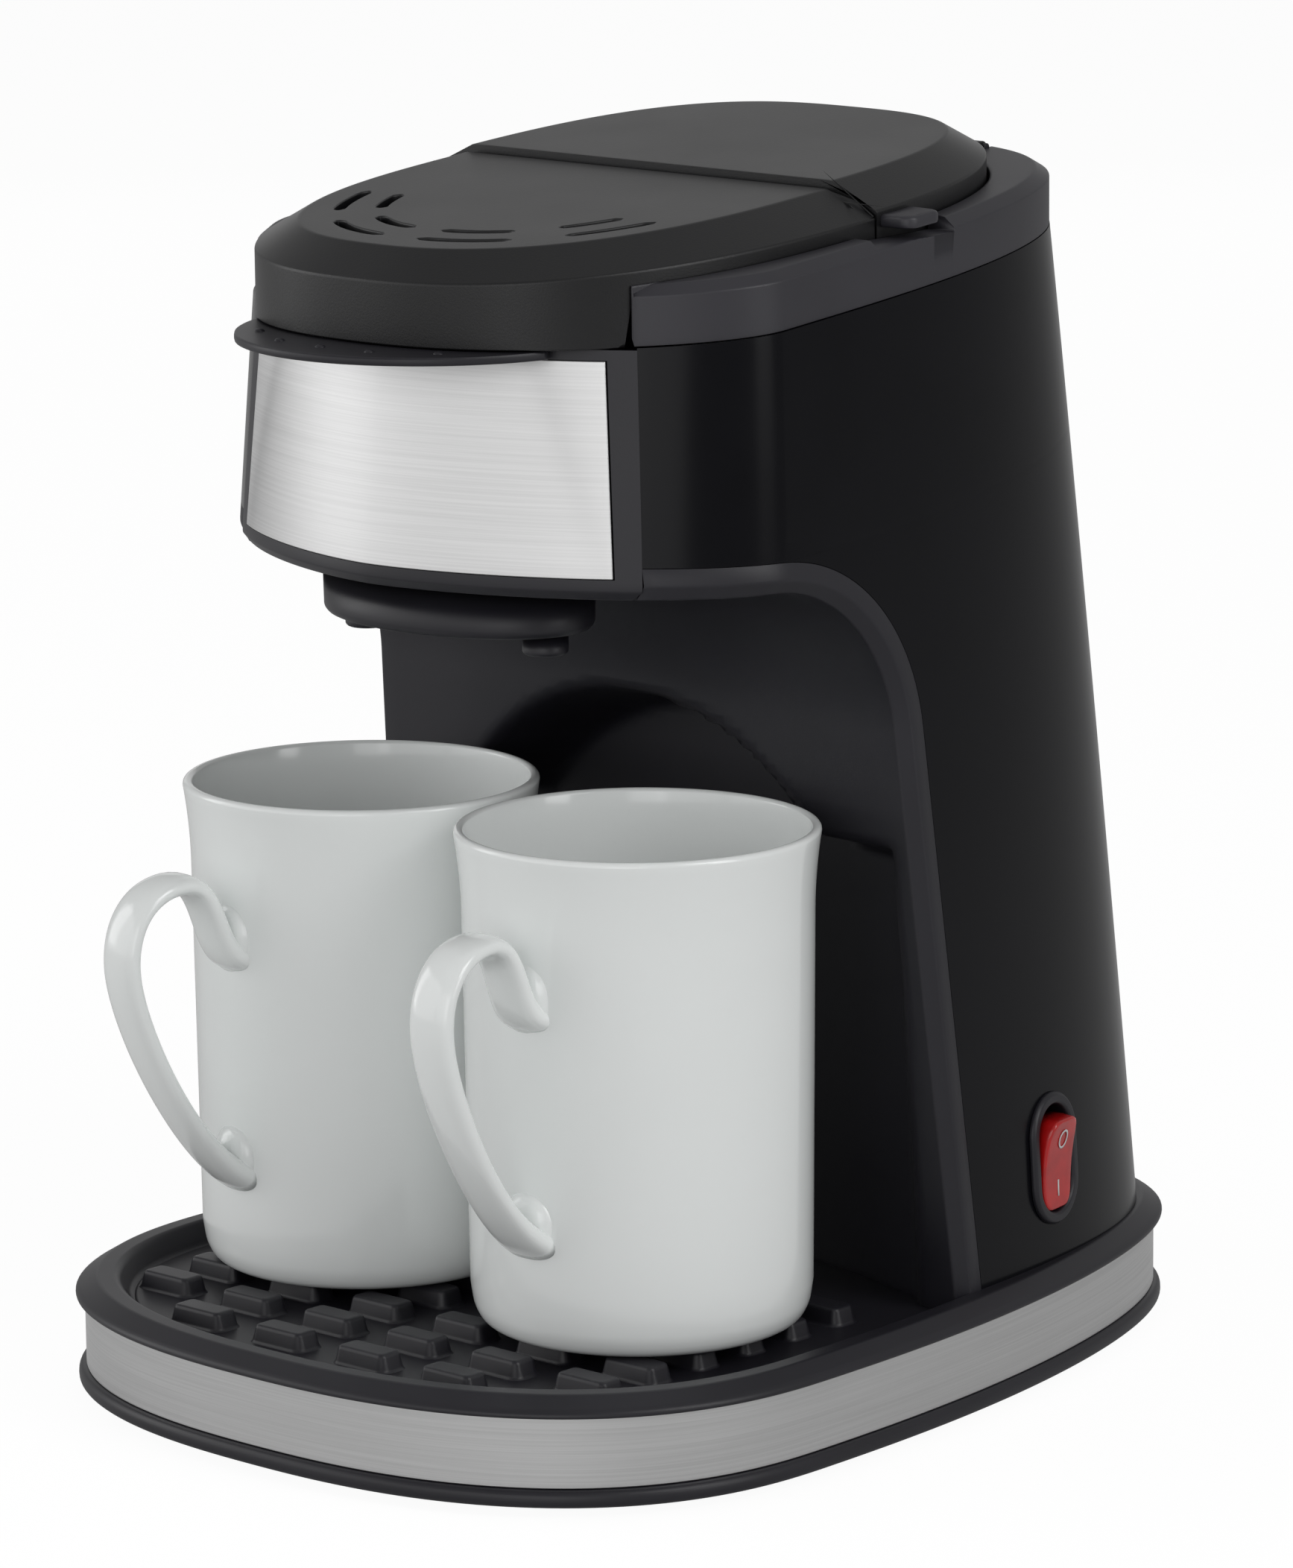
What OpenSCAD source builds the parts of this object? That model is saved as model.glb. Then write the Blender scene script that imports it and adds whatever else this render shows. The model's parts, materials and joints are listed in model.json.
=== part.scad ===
// Two-mug drip coffee maker: tank and heater at the back, filter head over a bay for two mugs.
// The origin is on the ground under the middle of the base. +X is right, -Y is the front, +Z is up.

/* [Base] */
// Half-width of the steel band
base_half_w = 93.3; // [88:0.1:100]
// Depth of the band in front of its widest line
base_front = 75.6; // [72:0.1:80]
// Height of the floor pan's lower edge above the ground
foot_h = 2; // [1:0.5:3]
// Lower edge of the steel band
band_z = 6; // [5:0.5:7]
// Upper edge of the steel band
band_top = 21.4; // [20.5:0.1:22]
// Top of the cup deck
deck_z = 25.7; // [25.2:0.1:26.5]
// Floor of the cup recess
recess_z = 20.5; // [20:0.1:21]
// Flat width between the band and the cup recess
recess_inset = 7; // [6:0.5:9]

/* [Cup platform] */
// Distance between bumps from left to right
bump_pitch_x = 24.75; // [22:0.05:28]
// Distance between bumps from front to back
bump_pitch_y = 14.8; // [13:0.1:18]
// Top of the bumps
bump_top = 25; // [24:0.1:25.2]
// Length of a bump's top
bump_len = 12.8; // [10:0.1:14]
// Width of a bump's top
bump_wid = 5.5; // [4:0.1:7]

/* [Body] */
// Half-width of the body where it meets the deck
body_half_w = 85.8; // [84:0.1:88]
// Half-width of the body at the collar
collar_half_w = 72.9; // [70:0.1:75]
// Thickness of the plastic walls
wall = 2.4; // [2:0.1:3]
// Underside of the head, where the matte liner starts
head_z = 192; // [188:1:196]
// Radius of the bend between the column and the head
bend_r = 45; // [38:1:50]
// Width of the liner's edge that shows in the side wall
liner_t = 4.5; // [3.5:0.1:6]
// Half-width of the niche behind the mugs
niche_half_w = 72; // [60:1:74]

/* [Lids] */
// Height of the body's top edge, measured on the sloping top plane at y = 0
seam_z = 242.4; // [242:0.1:246]
// Rise of the sloping top from front to back, in degrees
top_slope = 4.86; // [4:0.1:6]
// Y of the line between the two lids
split_y = 6; // [4:0.5:8]
// How far the tank lid stands proud of the front lid
tank_lid_proud = 1.4; // [0.5:0.1:2]
// Radius of the front lid's hinge barrel
barrel_r = 2.5; // [2.2:0.1:2.8]
// Radius of the hinge pins
pin_r = 1.1; // [0.9:0.05:1.3]

/* [Brewing] */
// Y of the filter holder's axis
brew_y = -39.5; // [-41:0.5:-38]
// Outer radius of the filter well
well_r = 35.5; // [33:0.5:36]
// Distance of each spout from the middle
spout_x = 26; // [22:0.5:30]
// Y of the spouts
spout_y = -56.5; // [-58:0.5:-54]

/* [Water] */
// Floor of the water tank
tank_z = 122; // [115:1:130]
// Y of the tank's front wall
tank_front = 41; // [40:0.5:44]
// Radius of the heater's bend
heater_bend_r = 26; // [22:1:28]
// Height of the heater's axis
heater_z = 44; // [42:1:48]

/* [Switch] */
// Y of the switch
switch_y = 47; // [40:1:50]
// Height of the switch
switch_z = 48.3; // [46:0.5:54]
// Height of the switch bezel
bezel_h = 29.5; // [27:0.5:32]
// Width of the switch bezel
bezel_w = 19; // [17:0.5:21]
// Tilt of the rocker, in degrees
rocker_tilt = 9; // [6:0.5:10]

/* [Mugs] */
// Distance between the middle and each mug's axis
mug_x = 40.7; // [40.2:0.1:42]
// Y of the mugs' axes
mug_y = -44.5; // [-46:0.5:-43]
// Height of a mug
mug_h = 107.8; // [100:0.1:112]
// Radius of a mug's rim
mug_r = 39; // [37:0.1:39.5]
// Thickness of a mug's wall
mug_wall = 3; // [2.5:0.1:3.5]

/* [Hidden] */

segs = 96;
eps = 0.01;
gap = 0.1;
rise = tan(top_slope);
body_top_z = 250;
base_y = -46.5;
lid_gap = 0.6;
chamfer_rise = 5.6;
lid_low_z = 257.8;
lid_top_z = lid_low_z + chamfer_rise;
collar_top = 255;
lid_rim_z = 250.3;
skirt_z = 237;
hinge_y = split_y - 0.2 - barrel_r;
front_axis = [0, hinge_y, lid_top_z + rise * hinge_y - barrel_r - 0.12];
tank_axis = [0, 87.3, 262.6];
tank_knuckle_x = 23;
ear_x = 34;
ear_r = 1.9;
vent_half_w = 1.3;
collar_front_y = -58.6;
frame_back_y = -61.5;
frame_lean = 0.053;
brew_floor = 196;
switch_yaw = 9.8;
switch_pitch = -3.3;
switch_x = 79.2;

// An outline is [half-width, front depth, front exponent, rear depth, rear exponent, rear limit, y].
base_plan = [base_half_w, base_front, 2.42, 197.6, 2.22, 179.5, base_y];
body_foot = [body_half_w, 58.2, 1.45, 179.8, 2.73, 172, -44.9];
body_top = [collar_half_w, 43.2, 1.72, 132.5, 2.97, 150, -33.2];
lid_low = [64.5, 88, 2.4, 84, 2.3, 400, 0.5];
lid_top = [52.4, 74, 2.43, 79, 2.9, 400, -5.5];

function power(v, n) = sign(v) * pow(abs(v), 2 / n);
function soft_limit(d, limit) = d / pow(1 + pow(d / limit, 8), 1 / 8);
function outline(s, grow = 0) = [
    for (i = [0:segs - 1])
        let (a = 360 * i / segs)
        cos(a) >= 0
            ? [(s[0] + grow) * power(sin(a), s[2]), s[6] - (s[1] + grow) * power(cos(a), s[2])]
            : [(s[0] + grow) * power(sin(a), s[4]),
               s[6] + soft_limit((s[3] + grow) * pow(-cos(a), 2 / s[4]), s[5] + grow)]];
function ring(s, grow, z, slope = 0) = [for (p = outline(s, grow)) [p.x, p.y, z + slope * p.y]];
function body_at(z) = body_foot + (body_top - body_foot) * (z - deck_z) / (body_top_z - deck_z);
function rear_y(s, x) = s[6] + soft_limit(s[3] * pow(1 - pow(abs(x) / s[0], s[4]), 1 / s[4]), s[5]);
function bezier(p, t) =
    pow(1 - t, 3) * p[0] + 3 * t * pow(1 - t, 2) * p[1] + 3 * t * t * (1 - t) * p[2] + t * t * t * p[3];

// Joins rings of equal length into one closed solid.
module loft(rings) {
    n = len(rings[0]);
    last = len(rings) - 1;
    polyhedron(
        points = [for (r = rings) for (p = r) p],
        faces = concat(
            [[for (i = [0:n - 1]) i]],
            [[for (i = [n - 1:-1:0]) last * n + i]],
            [for (k = [0:last - 1]) for (i = [0:n - 1])
                [k * n + i, (k + 1) * n + i, (k + 1) * n + (i + 1) % n, k * n + (i + 1) % n]]));
}

// The body's outside, grown by grow, between two heights.
module body_solid(grow, z0, z1, steps = 4) {
    loft([for (k = [0:steps]) let (z = z0 + (z1 - z0) * k / steps) ring(body_at(z), grow, z)]);
}

// Everything above a plane that slopes with the top.
module above(z) {
    translate([0, 0, z]) rotate([top_slope, 0, 0]) translate([-150, -200, 0]) cube([300, 400, 120]);
}

// Everything in front of the face where the head's frame meets the body, moved back by shift.
module front_part(shift = 0) {
    front = frame_back_y + shift;
    across(120) polygon([[-200, 100], [-200, head_z + 100], [front + frame_lean * 100, head_z + 100],
        [front - frame_lean * (head_z - 100), 100]]);
}

module block(x0, x1, y0, y1, z0, z1) {
    translate([x0, y0, z0]) cube([x1 - x0, y1 - y0, z1 - z0]);
}

// A round bar from point a to point b.
module bar(a, b, r) {
    d = b - a;
    translate(a) rotate([0, acos(d.z / norm(d)), atan2(d.y, d.x)]) cylinder(r = r, h = norm(d), $fn = 32);
}

// A round bar along X, centred on p.
module bar_x(p, length, r) {
    translate(p) rotate([0, 90, 0]) cylinder(r = r, h = length, center = true, $fn = 48);
}

// Extrudes a side view, drawn with y across and z up, to both sides of the middle.
module across(half) {
    translate([-half, 0, 0]) rotate([90, 0, 90]) linear_extrude(2 * half) children();
}

// Side view of the mug bay, shrunk by inset; extruded across the whole body.
module bay(inset) {
    foot_y = 17 - inset;
    lean = 0.094;
    bend_z = head_z - bend_r;
    bend_y = 17 - lean * (bend_z - deck_z) - bend_r;
    r = bend_r - inset;
    across(150) polygon(concat(
        [[-180, deck_z - 20], [foot_y + lean * 20, deck_z - 20]],
        [for (a = [0:6:90]) [bend_y + r * cos(a), bend_z + r * sin(a)]],
        [[-180, head_z - inset]]));
}

module stadium(w, h, depth) {
    rotate([90, 0, 90]) linear_extrude(depth) {
        for (s = [-1, 1]) translate([0, s * (h - w) / 2]) circle(d = w, $fn = 48);
        square([w, h - w], center = true);
    }
}

// Places its children on the side wall, with +X pointing out of the wall.
module on_switch() {
    translate([switch_x, switch_y, switch_z]) rotate([0, switch_pitch, switch_yaw]) children();
}

/* ---- base ---- */

screw_spots = [[-60, -70], [60, -70], [-50, 78], [50, 78]];
foot_spots = [for (x = [-70, 70], y = [-48, 52]) [x, y]];
screw_r = 1.6;
post_r = 4.2;
pan_inset = 3.4;
steel_t = 0.9;

module base_pan() color([0.13, 0.13, 0.14]) difference() {
    union() {
        loft([ring(base_plan, -1, foot_h), ring(base_plan, 1.2, foot_h + 1), ring(base_plan, 1.6, 4),
            ring(base_plan, 1.2, 5.2), ring(base_plan, 0, band_z)]);
        loft([ring(base_plan, -1, band_z - 1), ring(base_plan, -1, band_top)]);
    }
    loft([ring(base_plan, -pan_inset, foot_h + 2), ring(base_plan, -pan_inset, band_top + 1)]);
    for (p = screw_spots) translate([p.x, p.y, 0]) {
        cylinder(r = screw_r + 0.5, h = 20, $fn = 32);
        cylinder(r = 4, h = foot_h + 1, $fn = 32);
    }
    for (p = foot_spots) translate([p.x, p.y, 0]) cylinder(r = 4, h = 20, $fn = 32);
}

module rubber_feet() color([0.06, 0.06, 0.06])
    for (p = foot_spots) translate([p.x, p.y, 0]) {
        cylinder(r = 7, h = foot_h, $fn = 48);
        cylinder(r = 3.9, h = foot_h + 4, $fn = 48);
    }

module base_screws() color("silver")
    for (p = screw_spots) translate([p.x, p.y, foot_h + 0.2]) {
        cylinder(r = 3.6, h = 0.8, $fn = 32);
        cylinder(r = screw_r, h = 13, $fn = 32);
    }

module steel_band() color([0.66, 0.66, 0.67]) difference() {
    loft([ring(base_plan, 0, band_z + gap), ring(base_plan, 0, band_top)]);
    loft([ring(base_plan, -steel_t, band_z), ring(base_plan, -steel_t, band_top + 1)]);
}

module base_deck() color([0.16, 0.16, 0.17]) difference() {
    union() {
        loft([ring(base_plan, 0, band_top + gap), ring(base_plan, 1.9, band_top + 0.3),
            ring(base_plan, 1.9, band_top + 0.9), ring(base_plan, 1.2, band_top + 1.8),
            ring(base_plan, -2.6, deck_z)]);
        loft([ring(base_plan, -3.7, band_top - 4), ring(base_plan, -3.7, band_top + 1)]);
        for (p = screw_spots) translate([p.x, p.y, 8]) cylinder(r = post_r, h = 12, $fn = 32);
    }
    intersection() {
        loft([ring(base_plan, -recess_inset - 3.4, recess_z),
            ring(base_plan, -recess_inset - 2, recess_z + 1),
            ring(base_plan, -recess_inset - 0.6, deck_z - 1),
            ring(base_plan, -recess_inset + 0.8, deck_z + eps)]);
        block(-120, 120, -150, 40, 0, 60);
        bay(liner_t - 0.2);
    }
    translate([0, 0, -eps]) intersection() {
        loft([ring(base_plan, -7, 0), ring(base_plan, -7, band_top - 1.6)]);
        block(-120, 120, -130, 130, 0, band_top - 3.5);
        difference() {
            block(-120, 120, -130, 130, 0, 60);
            for (p = screw_spots) translate([p.x, p.y, 0]) cylinder(r = post_r, h = 30, $fn = 32);
        }
    }
    for (p = screw_spots) translate([p.x, p.y, 0]) cylinder(r = screw_r + 0.02, h = 17, $fn = 32);
    block(-40, 40, 44, 96, 0, 60);
}

mat_t = 0.6;
bump_rows = [0:6];
bump_columns = [-2.5:2.5];

module bump() {
    hull() {
        translate([0, 0, 0.4]) cube([bump_len + 3.2, bump_wid + 2.5, 0.8], center = true);
        translate([0, 0, bump_top - recess_z - mat_t - 0.5])
            cube([bump_len + 0.6, bump_wid + 0.6, 0.02], center = true);
        translate([0, 0, bump_top - recess_z - mat_t - 0.01])
            cube([bump_len, bump_wid, 0.02], center = true);
    }
}

module bump_mat() color([0.15, 0.15, 0.16]) {
    intersection() {
        loft([ring(base_plan, -recess_inset - 3.6, recess_z + 0.05),
            ring(base_plan, -recess_inset - 3.2, recess_z + mat_t)]);
        bay(5.2);
    }
    for (row = bump_rows, col = bump_columns) {
        x = col * bump_pitch_x;
        y = mug_y - 54.85 + row * bump_pitch_y;
        if (row > 0 || abs(col) < 2) translate([x, y, recess_z + mat_t - eps]) bump();
    }
}

/* ---- body ---- */

niche_curve_r = 215;
niche_curve_y = -188.9;
niche_side_top = 124;
niche_arch_r = 62;
niche_top = 149;
niche_top_r = 60;

// Room behind the mugs: a shallow curved back with an arched top.
module niche_space(grow) {
    intersection() {
        translate([0, niche_curve_y, 0]) cylinder(r = niche_curve_r + grow, h = 300, $fn = 180);
        translate([0, 80, 0]) rotate([90, 0, 0]) linear_extrude(120) {
            translate([-niche_half_w - grow, 0]) square([2 * (niche_half_w + grow), niche_side_top + grow]);
            intersection() {
                translate([0, niche_side_top - 2]) circle(r = niche_arch_r + grow, $fn = 64);
                translate([-niche_half_w, 110]) square([2 * niche_half_w, niche_top - 110 + grow]);
                translate([0, niche_top + grow - niche_top_r]) circle(r = niche_top_r, $fn = 96);
            }
        }
    }
}

module body_shell() color([0.09, 0.09, 0.11]) difference() {
    body_solid(0, deck_z, 264);
    body_solid(-wall, deck_z - 1, 265);
    bay(0);
    front_part();
    above(seam_z);
    on_switch() translate([-20, 0, 0]) stadium(bezel_w - 4, bezel_h - 4, 40);
    translate([gland_x, 90, gland_z]) rotate([-90, 0, 0]) cylinder(r = gland_r + 0.1, h = 60, $fn = 48);
}

module column_liner() color([0.17, 0.17, 0.19]) difference() {
    union() {
        difference() {
            intersection() {
                body_solid(0, deck_z, 200);
                bay(gap);
            }
            bay(liner_t);
            front_part();
        }
        intersection() {
            niche_space(2);
            body_solid(-wall - 0.3, deck_z, 200);
            difference() {
                block(-100, 100, 0, 60, deck_z, 160);
                bay(liner_t - 0.5);
            }
        }
    }
    niche_space(0);
    translate([0, brew_y, 150]) cylinder(r = 14, h = 60, $fn = 64);
}

panel_low = [53.8, 189.5];
panel_high = [50.2, 234.7];

module panel_window(side) {
    translate([0, 20, 0]) rotate([90, 0, 0]) linear_extrude(150)
        polygon([[-panel_low.x - side, panel_low.y - side], [panel_low.x + side, panel_low.y - side],
            [panel_high.x + side, panel_high.y + side], [-panel_high.x - side, panel_high.y + side]]);
}

module behind_frame() difference() {
    block(-120, 120, -200, 200, 150, 300);
    front_part(-gap);
}

module head_frame() color([0.14, 0.14, 0.15]) difference() {
    loft([ring(body_at(185), -3, 185), ring(body_at(188), 0, 188), ring(body_at(220), 0, 220),
        ring(body_at(255), 0, 255)]);
    body_solid(-wall, head_z - liner_t, 260);
    behind_frame();
    block(-120, 120, -200, 0, skirt_z - gap, 300);
    intersection() {
        panel_window(gap);
        difference() {
            body_solid(1, 180, 250);
            body_solid(-1, 179, 251);
        }
    }
    block(-90, 90, -62, 60, 180, head_z - liner_t + 0.2);
    translate([0, brew_y, 150]) cylinder(r = 14, h = 60, $fn = 64);
}

module steel_panel() color([0.72, 0.72, 0.73]) intersection() {
    panel_window(0);
    block(-70, 70, -120, frame_back_y + 30, 180, 250);
    difference() {
        body_solid(0.25, 180, 250);
        body_solid(-steel_t, 179, 251);
    }
}

module collar() color([0.2, 0.2, 0.22]) difference() {
    union() {
        difference() {
            loft([ring(body_top, 0, seam_z + gap, rise), ring(body_top, 0, collar_top - 2, rise),
                ring(body_top, -3, collar_top, rise)]);
            loft([ring(lid_low, lid_gap, seam_z - 20, rise), ring(lid_low, lid_gap, seam_z + 30, rise)]);
        }
        difference() {
            loft([ring(lid_low, lid_gap + 1, seam_z + gap, rise),
                ring(lid_low, lid_gap + 1, seam_z + 4, rise)]);
            translate([0, brew_y, 200]) cylinder(r = well_r + 1.5, h = 80, $fn = 96);
            intersection() {
                loft([ring(lid_low, -7, seam_z - 20, rise), ring(lid_low, -7, seam_z + 40, rise)]);
                block(-90, 90, 22, 120, 200, 300);
            }
        }
        // bridge between the brewing side and the tank, with ears for the front lid's pins
        intersection() {
            block(-57, 57, -1, 20, 246, front_axis.z - barrel_r - 0.9);
            loft([ring(lid_low, -2, 240), ring(lid_low, -2, 290)]);
        }
        for (s = [-1, 1]) translate([s * ear_x, 0, 0]) {
            bar_x(front_axis, 5, ear_r);
            block(-2.5, 2.5, front_axis.y - 1.2, front_axis.y + 1.2, 250, front_axis.z);
        }
    }
    block(-120, 120, -200, collar_front_y, 0, 300);
    // shower arm's tunnel
    block(riser.x - 6, riser.x + 6, brew_y, 26, 236, 251);
    // front lid pins
    bar_x(front_axis, 100, pin_r + 0.02);
    // tank lid knuckle slots and pins
    for (s = [-1, 1]) {
        block(s * tank_knuckle_x - 4, s * tank_knuckle_x + 4, 80, tank_axis.y + 3.2, tank_axis.z - 3.2, 290);
        bar_x([s * tank_knuckle_x, tank_axis.y, tank_axis.z], 16, pin_r + 0.02);
    }
    // finger notch under the tank lid's tab
    block(60, 90, -2, 24, collar_top - 3 + 1.3, 290);
}

/* ---- lids ---- */

module lid_solid(grow, lift = 0) {
    loft([ring(lid_low, grow, seam_z - 3, rise), ring(lid_low, grow, lid_low_z + lift, rise),
        ring(lid_top, grow, lid_top_z + lift, rise)]);
}

// Steam vents: an outer and an inner row of curved slots, [half-width, front depth, first and last angle].
vent_slots = [[45, 66, 4, 29.3], [45, 66, 43.5, 65], [36.2, 57.5, 4, 28], [36.2, 57.5, 42, 60]];

function vent_point(v, a) = [v[0] * power(sin(a), 2.43), -5.5 - v[1] * power(cos(a), 2.43)];
function vent_side(v, side) = [for (k = [0:8])
    let (a = v[2] + (v[3] - v[2]) * k / 8, p = vent_point(v, a),
        d = vent_point(v, a + 0.5) - vent_point(v, a - 0.5), n = [d.y, -d.x] / norm(d))
    p + side * n];
function reversed(list) = [for (i = [len(list) - 1:-1:0]) list[i]];

module vents() {
    for (v = vent_slots, m = [0, 1]) mirror([m, 0, 0]) translate([0, 0, 230]) linear_extrude(60)
        polygon(concat(vent_side(v, vent_half_w), reversed(vent_side(v, -vent_half_w))));
}

// Side view of the front lid: skirt at the front, short sides over the collar, hinge barrel at the back.
function lid_profile() = concat(
    [[-200, 290], [-200, skirt_z], [collar_front_y - 0.5, skirt_z],
        [collar_front_y - 0.5, lid_rim_z + rise * collar_front_y],
        [-8, lid_rim_z - rise * 8], [-8, front_axis.z - barrel_r]],
    [for (a = [-90:15:75]) [front_axis.y + barrel_r * cos(a), front_axis.z + barrel_r * sin(a)]],
    [[front_axis.y + barrel_r * cos(75), 290]]);

// Room for an ear of the collar through the whole swing, seen from the side.
function ear_room(r) = concat(
    [[r * 4, -20], [-r, -20]],
    [for (a = [180:-15:45]) r * [cos(a), sin(a)]],
    [[r * 4, r * sin(45)]]);

module front_lid() color([0.24, 0.24, 0.24]) difference() {
    intersection() {
        lid_solid(0);
        across(100) polygon(lid_profile());
    }
    intersection() {
        loft([ring(lid_low, -2.4, seam_z - 4, rise), ring(lid_low, -2.4, lid_low_z - 1.2, rise),
            ring(lid_top, -1, lid_top_z - 2.6, rise)]);
        block(-90, 90, -200, front_axis.y - 8, 200, 300);
    }
    bar_x(front_axis, 96, pin_r + 0.05);
    for (s = [-1, 1]) translate([s * ear_x, front_axis.y, front_axis.z])
        across(2.9) polygon(ear_room(ear_r + 0.17));
    vents();
}

lip_y = -61.8;
lip_r = 42;

module grip_lip() color([0.15, 0.15, 0.16]) {
    difference() {
        translate([0, lip_y, skirt_z - 2]) cylinder(r = lip_r, h = 2 - gap, $fn = 160);
        for (s = [-1, 1]) block(s * 61 - 20, s * 61 + 20, -120, 0, 200, 300);
        block(-60, 60, -64, 0, 200, 300);
        body_solid(0.7, 220, 250);
    }
    for (x = [-26, -13, 0, 13, 26]) {
        r = lip_r - 8 + 0.1 * abs(x);
        translate([x, lip_y - sqrt(r * r - x * x), skirt_z - gap - eps]) cylinder(r = 1.1, h = 0.5, $fn = 24);
    }
}

module front_lid_pins() color("silver")
    for (s = [-1, 1]) bar_x([s * 38, front_axis.y, front_axis.z], 18, pin_r);

// Rounded tab at the right side of the tank lid, for one finger.
tab_end_x = 70.5;
knuckle_r = 2.4;

module tank_lid() color([0.25, 0.25, 0.25]) difference() {
    union() {
        difference() {
            lid_solid(0, tank_lid_proud);
            loft([ring(lid_low, -2.4, seam_z - 4, rise), ring(lid_low, -2.4, lid_low_z, rise),
                ring(lid_top, -1, lid_top_z + tank_lid_proud - 2.6, rise)]);
            block(-90, 90, -200, split_y + 0.2, 200, 300);
            difference() {
                block(-90, 90, -200, 200, 200, 300);
                above(lid_rim_z);
            }
            difference() {
                block(-90, 90, 0, split_y + 7, 200, 300);
                above(lid_low_z - 1.5);
            }
        }
        // knuckles
        for (s = [-1, 1]) translate([s * tank_knuckle_x, 0, 0]) {
            bar_x(tank_axis, 7, knuckle_r);
            block(-3.5, 3.5, 79, tank_axis.y, tank_axis.z - knuckle_r, tank_axis.z + knuckle_r);
        }
        // finger tab
        translate([0, 0, collar_top + 0.7]) hull() {
            block(58, 66, split_y + 1.5, split_y + 13, 0.6, 3);
            for (y = [split_y + 3.5, split_y + 11])
                translate([tab_end_x, y, 0.6]) cylinder(r = 2, h = 2.4, $fn = 32);
        }
    }
    for (s = [-1, 1]) bar_x([s * tank_knuckle_x, tank_axis.y, tank_axis.z], 20, pin_r + 0.05);
}

module tank_lid_pins() color("silver")
    for (s = [-1, 1]) bar_x([s * tank_knuckle_x, tank_axis.y, tank_axis.z], 14, pin_r);

/* ---- brewing side ---- */

module filter_well() color([0.12, 0.12, 0.13]) translate([0, brew_y, 0]) difference() {
    translate([0, 0, brew_floor - 3.8]) cylinder(r = well_r, h = 238 - brew_floor + 3.8, $fn = 96);
    translate([0, 0, brew_floor]) cylinder(r = well_r - 2, h = 60, $fn = 96);
    translate([0, 0, 150]) cylinder(r = 8, h = 80, $fn = 48);
}

cone_r = well_r - 5.5;

module filter_holder() color([0.1, 0.1, 0.11]) translate([0, brew_y, 0]) {
    rotate_extrude($fn = 96) polygon([
        [4, brew_floor + 1], [cone_r - 12.5, brew_floor + 1], [cone_r, 233], [well_r - 2.6, 233],
        [well_r - 2.6, 235], [cone_r - 1.5, 235], [cone_r - 13.7, brew_floor + 3], [4, brew_floor + 3]]);
    difference() {
        translate([0, 0, brew_floor - 9]) cylinder(r = 6, h = 11, $fn = 48);
        translate([0, 0, brew_floor - 10]) cylinder(r = 4, h = 20, $fn = 48);
    }
}

module mesh_filter() color([0.62, 0.6, 0.55]) translate([0, brew_y, 0])
    rotate_extrude($fn = 96) polygon([
        [0, brew_floor + 4.5], [cone_r - 15.5, brew_floor + 4.5], [cone_r - 2.9, 235.2],
        [cone_r + 1.5, 235.2], [cone_r + 1.5, 236.2], [cone_r - 3.5, 236.2],
        [cone_r - 16.1, brew_floor + 5.1], [0, brew_floor + 5.1]]);

module filter_handle() color([0.1, 0.1, 0.1]) translate([0, brew_y, 0]) difference() {
    translate([0, 0, 236.25]) cylinder(r = cone_r + 1.5, h = 1.4, $fn = 96);
    translate([0, 0, 230]) cylinder(r = cone_r - 3.1, h = 20, $fn = 96);
}

// The coffee outlet is an oval block under the head.
outlet_y = -55.5;
outlet_half_w = 34.3;
outlet_half_d = 22;
outlet_z = 173;
spout_z = 169.5;

module outlet_slice(z, inset) {
    half_w = outlet_half_w - inset;
    translate([0, outlet_y, z]) linear_extrude(0.1)
        scale([1, (outlet_half_d - inset) / half_w]) circle(r = half_w, $fn = 96);
}

module outlet_housing() color([0.13, 0.13, 0.14]) difference() {
    hull() {
        outlet_slice(outlet_z, 1.4);
        outlet_slice(outlet_z + 1.3, 0.2);
        outlet_slice(184.8, 0);
    }
    block(-30, 30, spout_y - 4, spout_y + 4, 177, 183);
    block(-6, 6, spout_y, brew_y + 3, 177, 183);
    translate([0, brew_y, 177]) cylinder(r = 4.2, h = 20, $fn = 48);
    for (s = [-1, 1]) translate([s * spout_x, spout_y, 170]) cylinder(r = 4.2, h = 10, $fn = 48);
}

module spouts() color([0.13, 0.13, 0.14])
    for (s = [-1, 1]) translate([s * spout_x, spout_y, 0]) difference() {
        union() {
            translate([0, 0, spout_z]) cylinder(r = 5, h = outlet_z - gap - spout_z, $fn = 48);
            translate([0, 0, spout_z]) cylinder(r = 4.15, h = 7.4, $fn = 48);
        }
        translate([0, 0, 160]) cylinder(r = 2.6, h = 30, $fn = 48);
    }

/* ---- water side ---- */

module tank_shape(grow, z0, z1) {
    intersection() {
        body_solid(-wall - 1.2 + grow, z0, z1, 3);
        block(-100, 100, tank_front - grow, 200, 0, 400);
    }
}

inlet = [heater_bend_r, 49];
riser = [-heater_bend_r, 34];
riser_r = 4.8;
riser_top_z = 244;
shower_arm_r = 3.2;
hose_r = 5.6;
hose_bore_r = 3.95;
heater_tube_r = 3.5;

module water_tank() color([0.6, 0.62, 0.63]) difference() {
    tank_shape(0, tank_z, 262);
    tank_shape(-2, tank_z + 2, 263);
    above(seam_z - 0.3);
    translate([inlet.x, inlet.y, 0]) cylinder(r = 4, h = 300, $fn = 48);
}

module check_valve() color([0.85, 0.85, 0.82]) translate([inlet.x, inlet.y, 0]) difference() {
    union() {
        translate([0, 0, tank_z - 14]) cylinder(r = 3.9, h = 18, $fn = 48);
        translate([0, 0, tank_z - 3]) cylinder(r = 7, h = 2.8, $fn = 48);
    }
    translate([0, 0, tank_z - 20]) cylinder(r = 2.2, h = 40, $fn = 48);
}

heater_y = 66;

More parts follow.
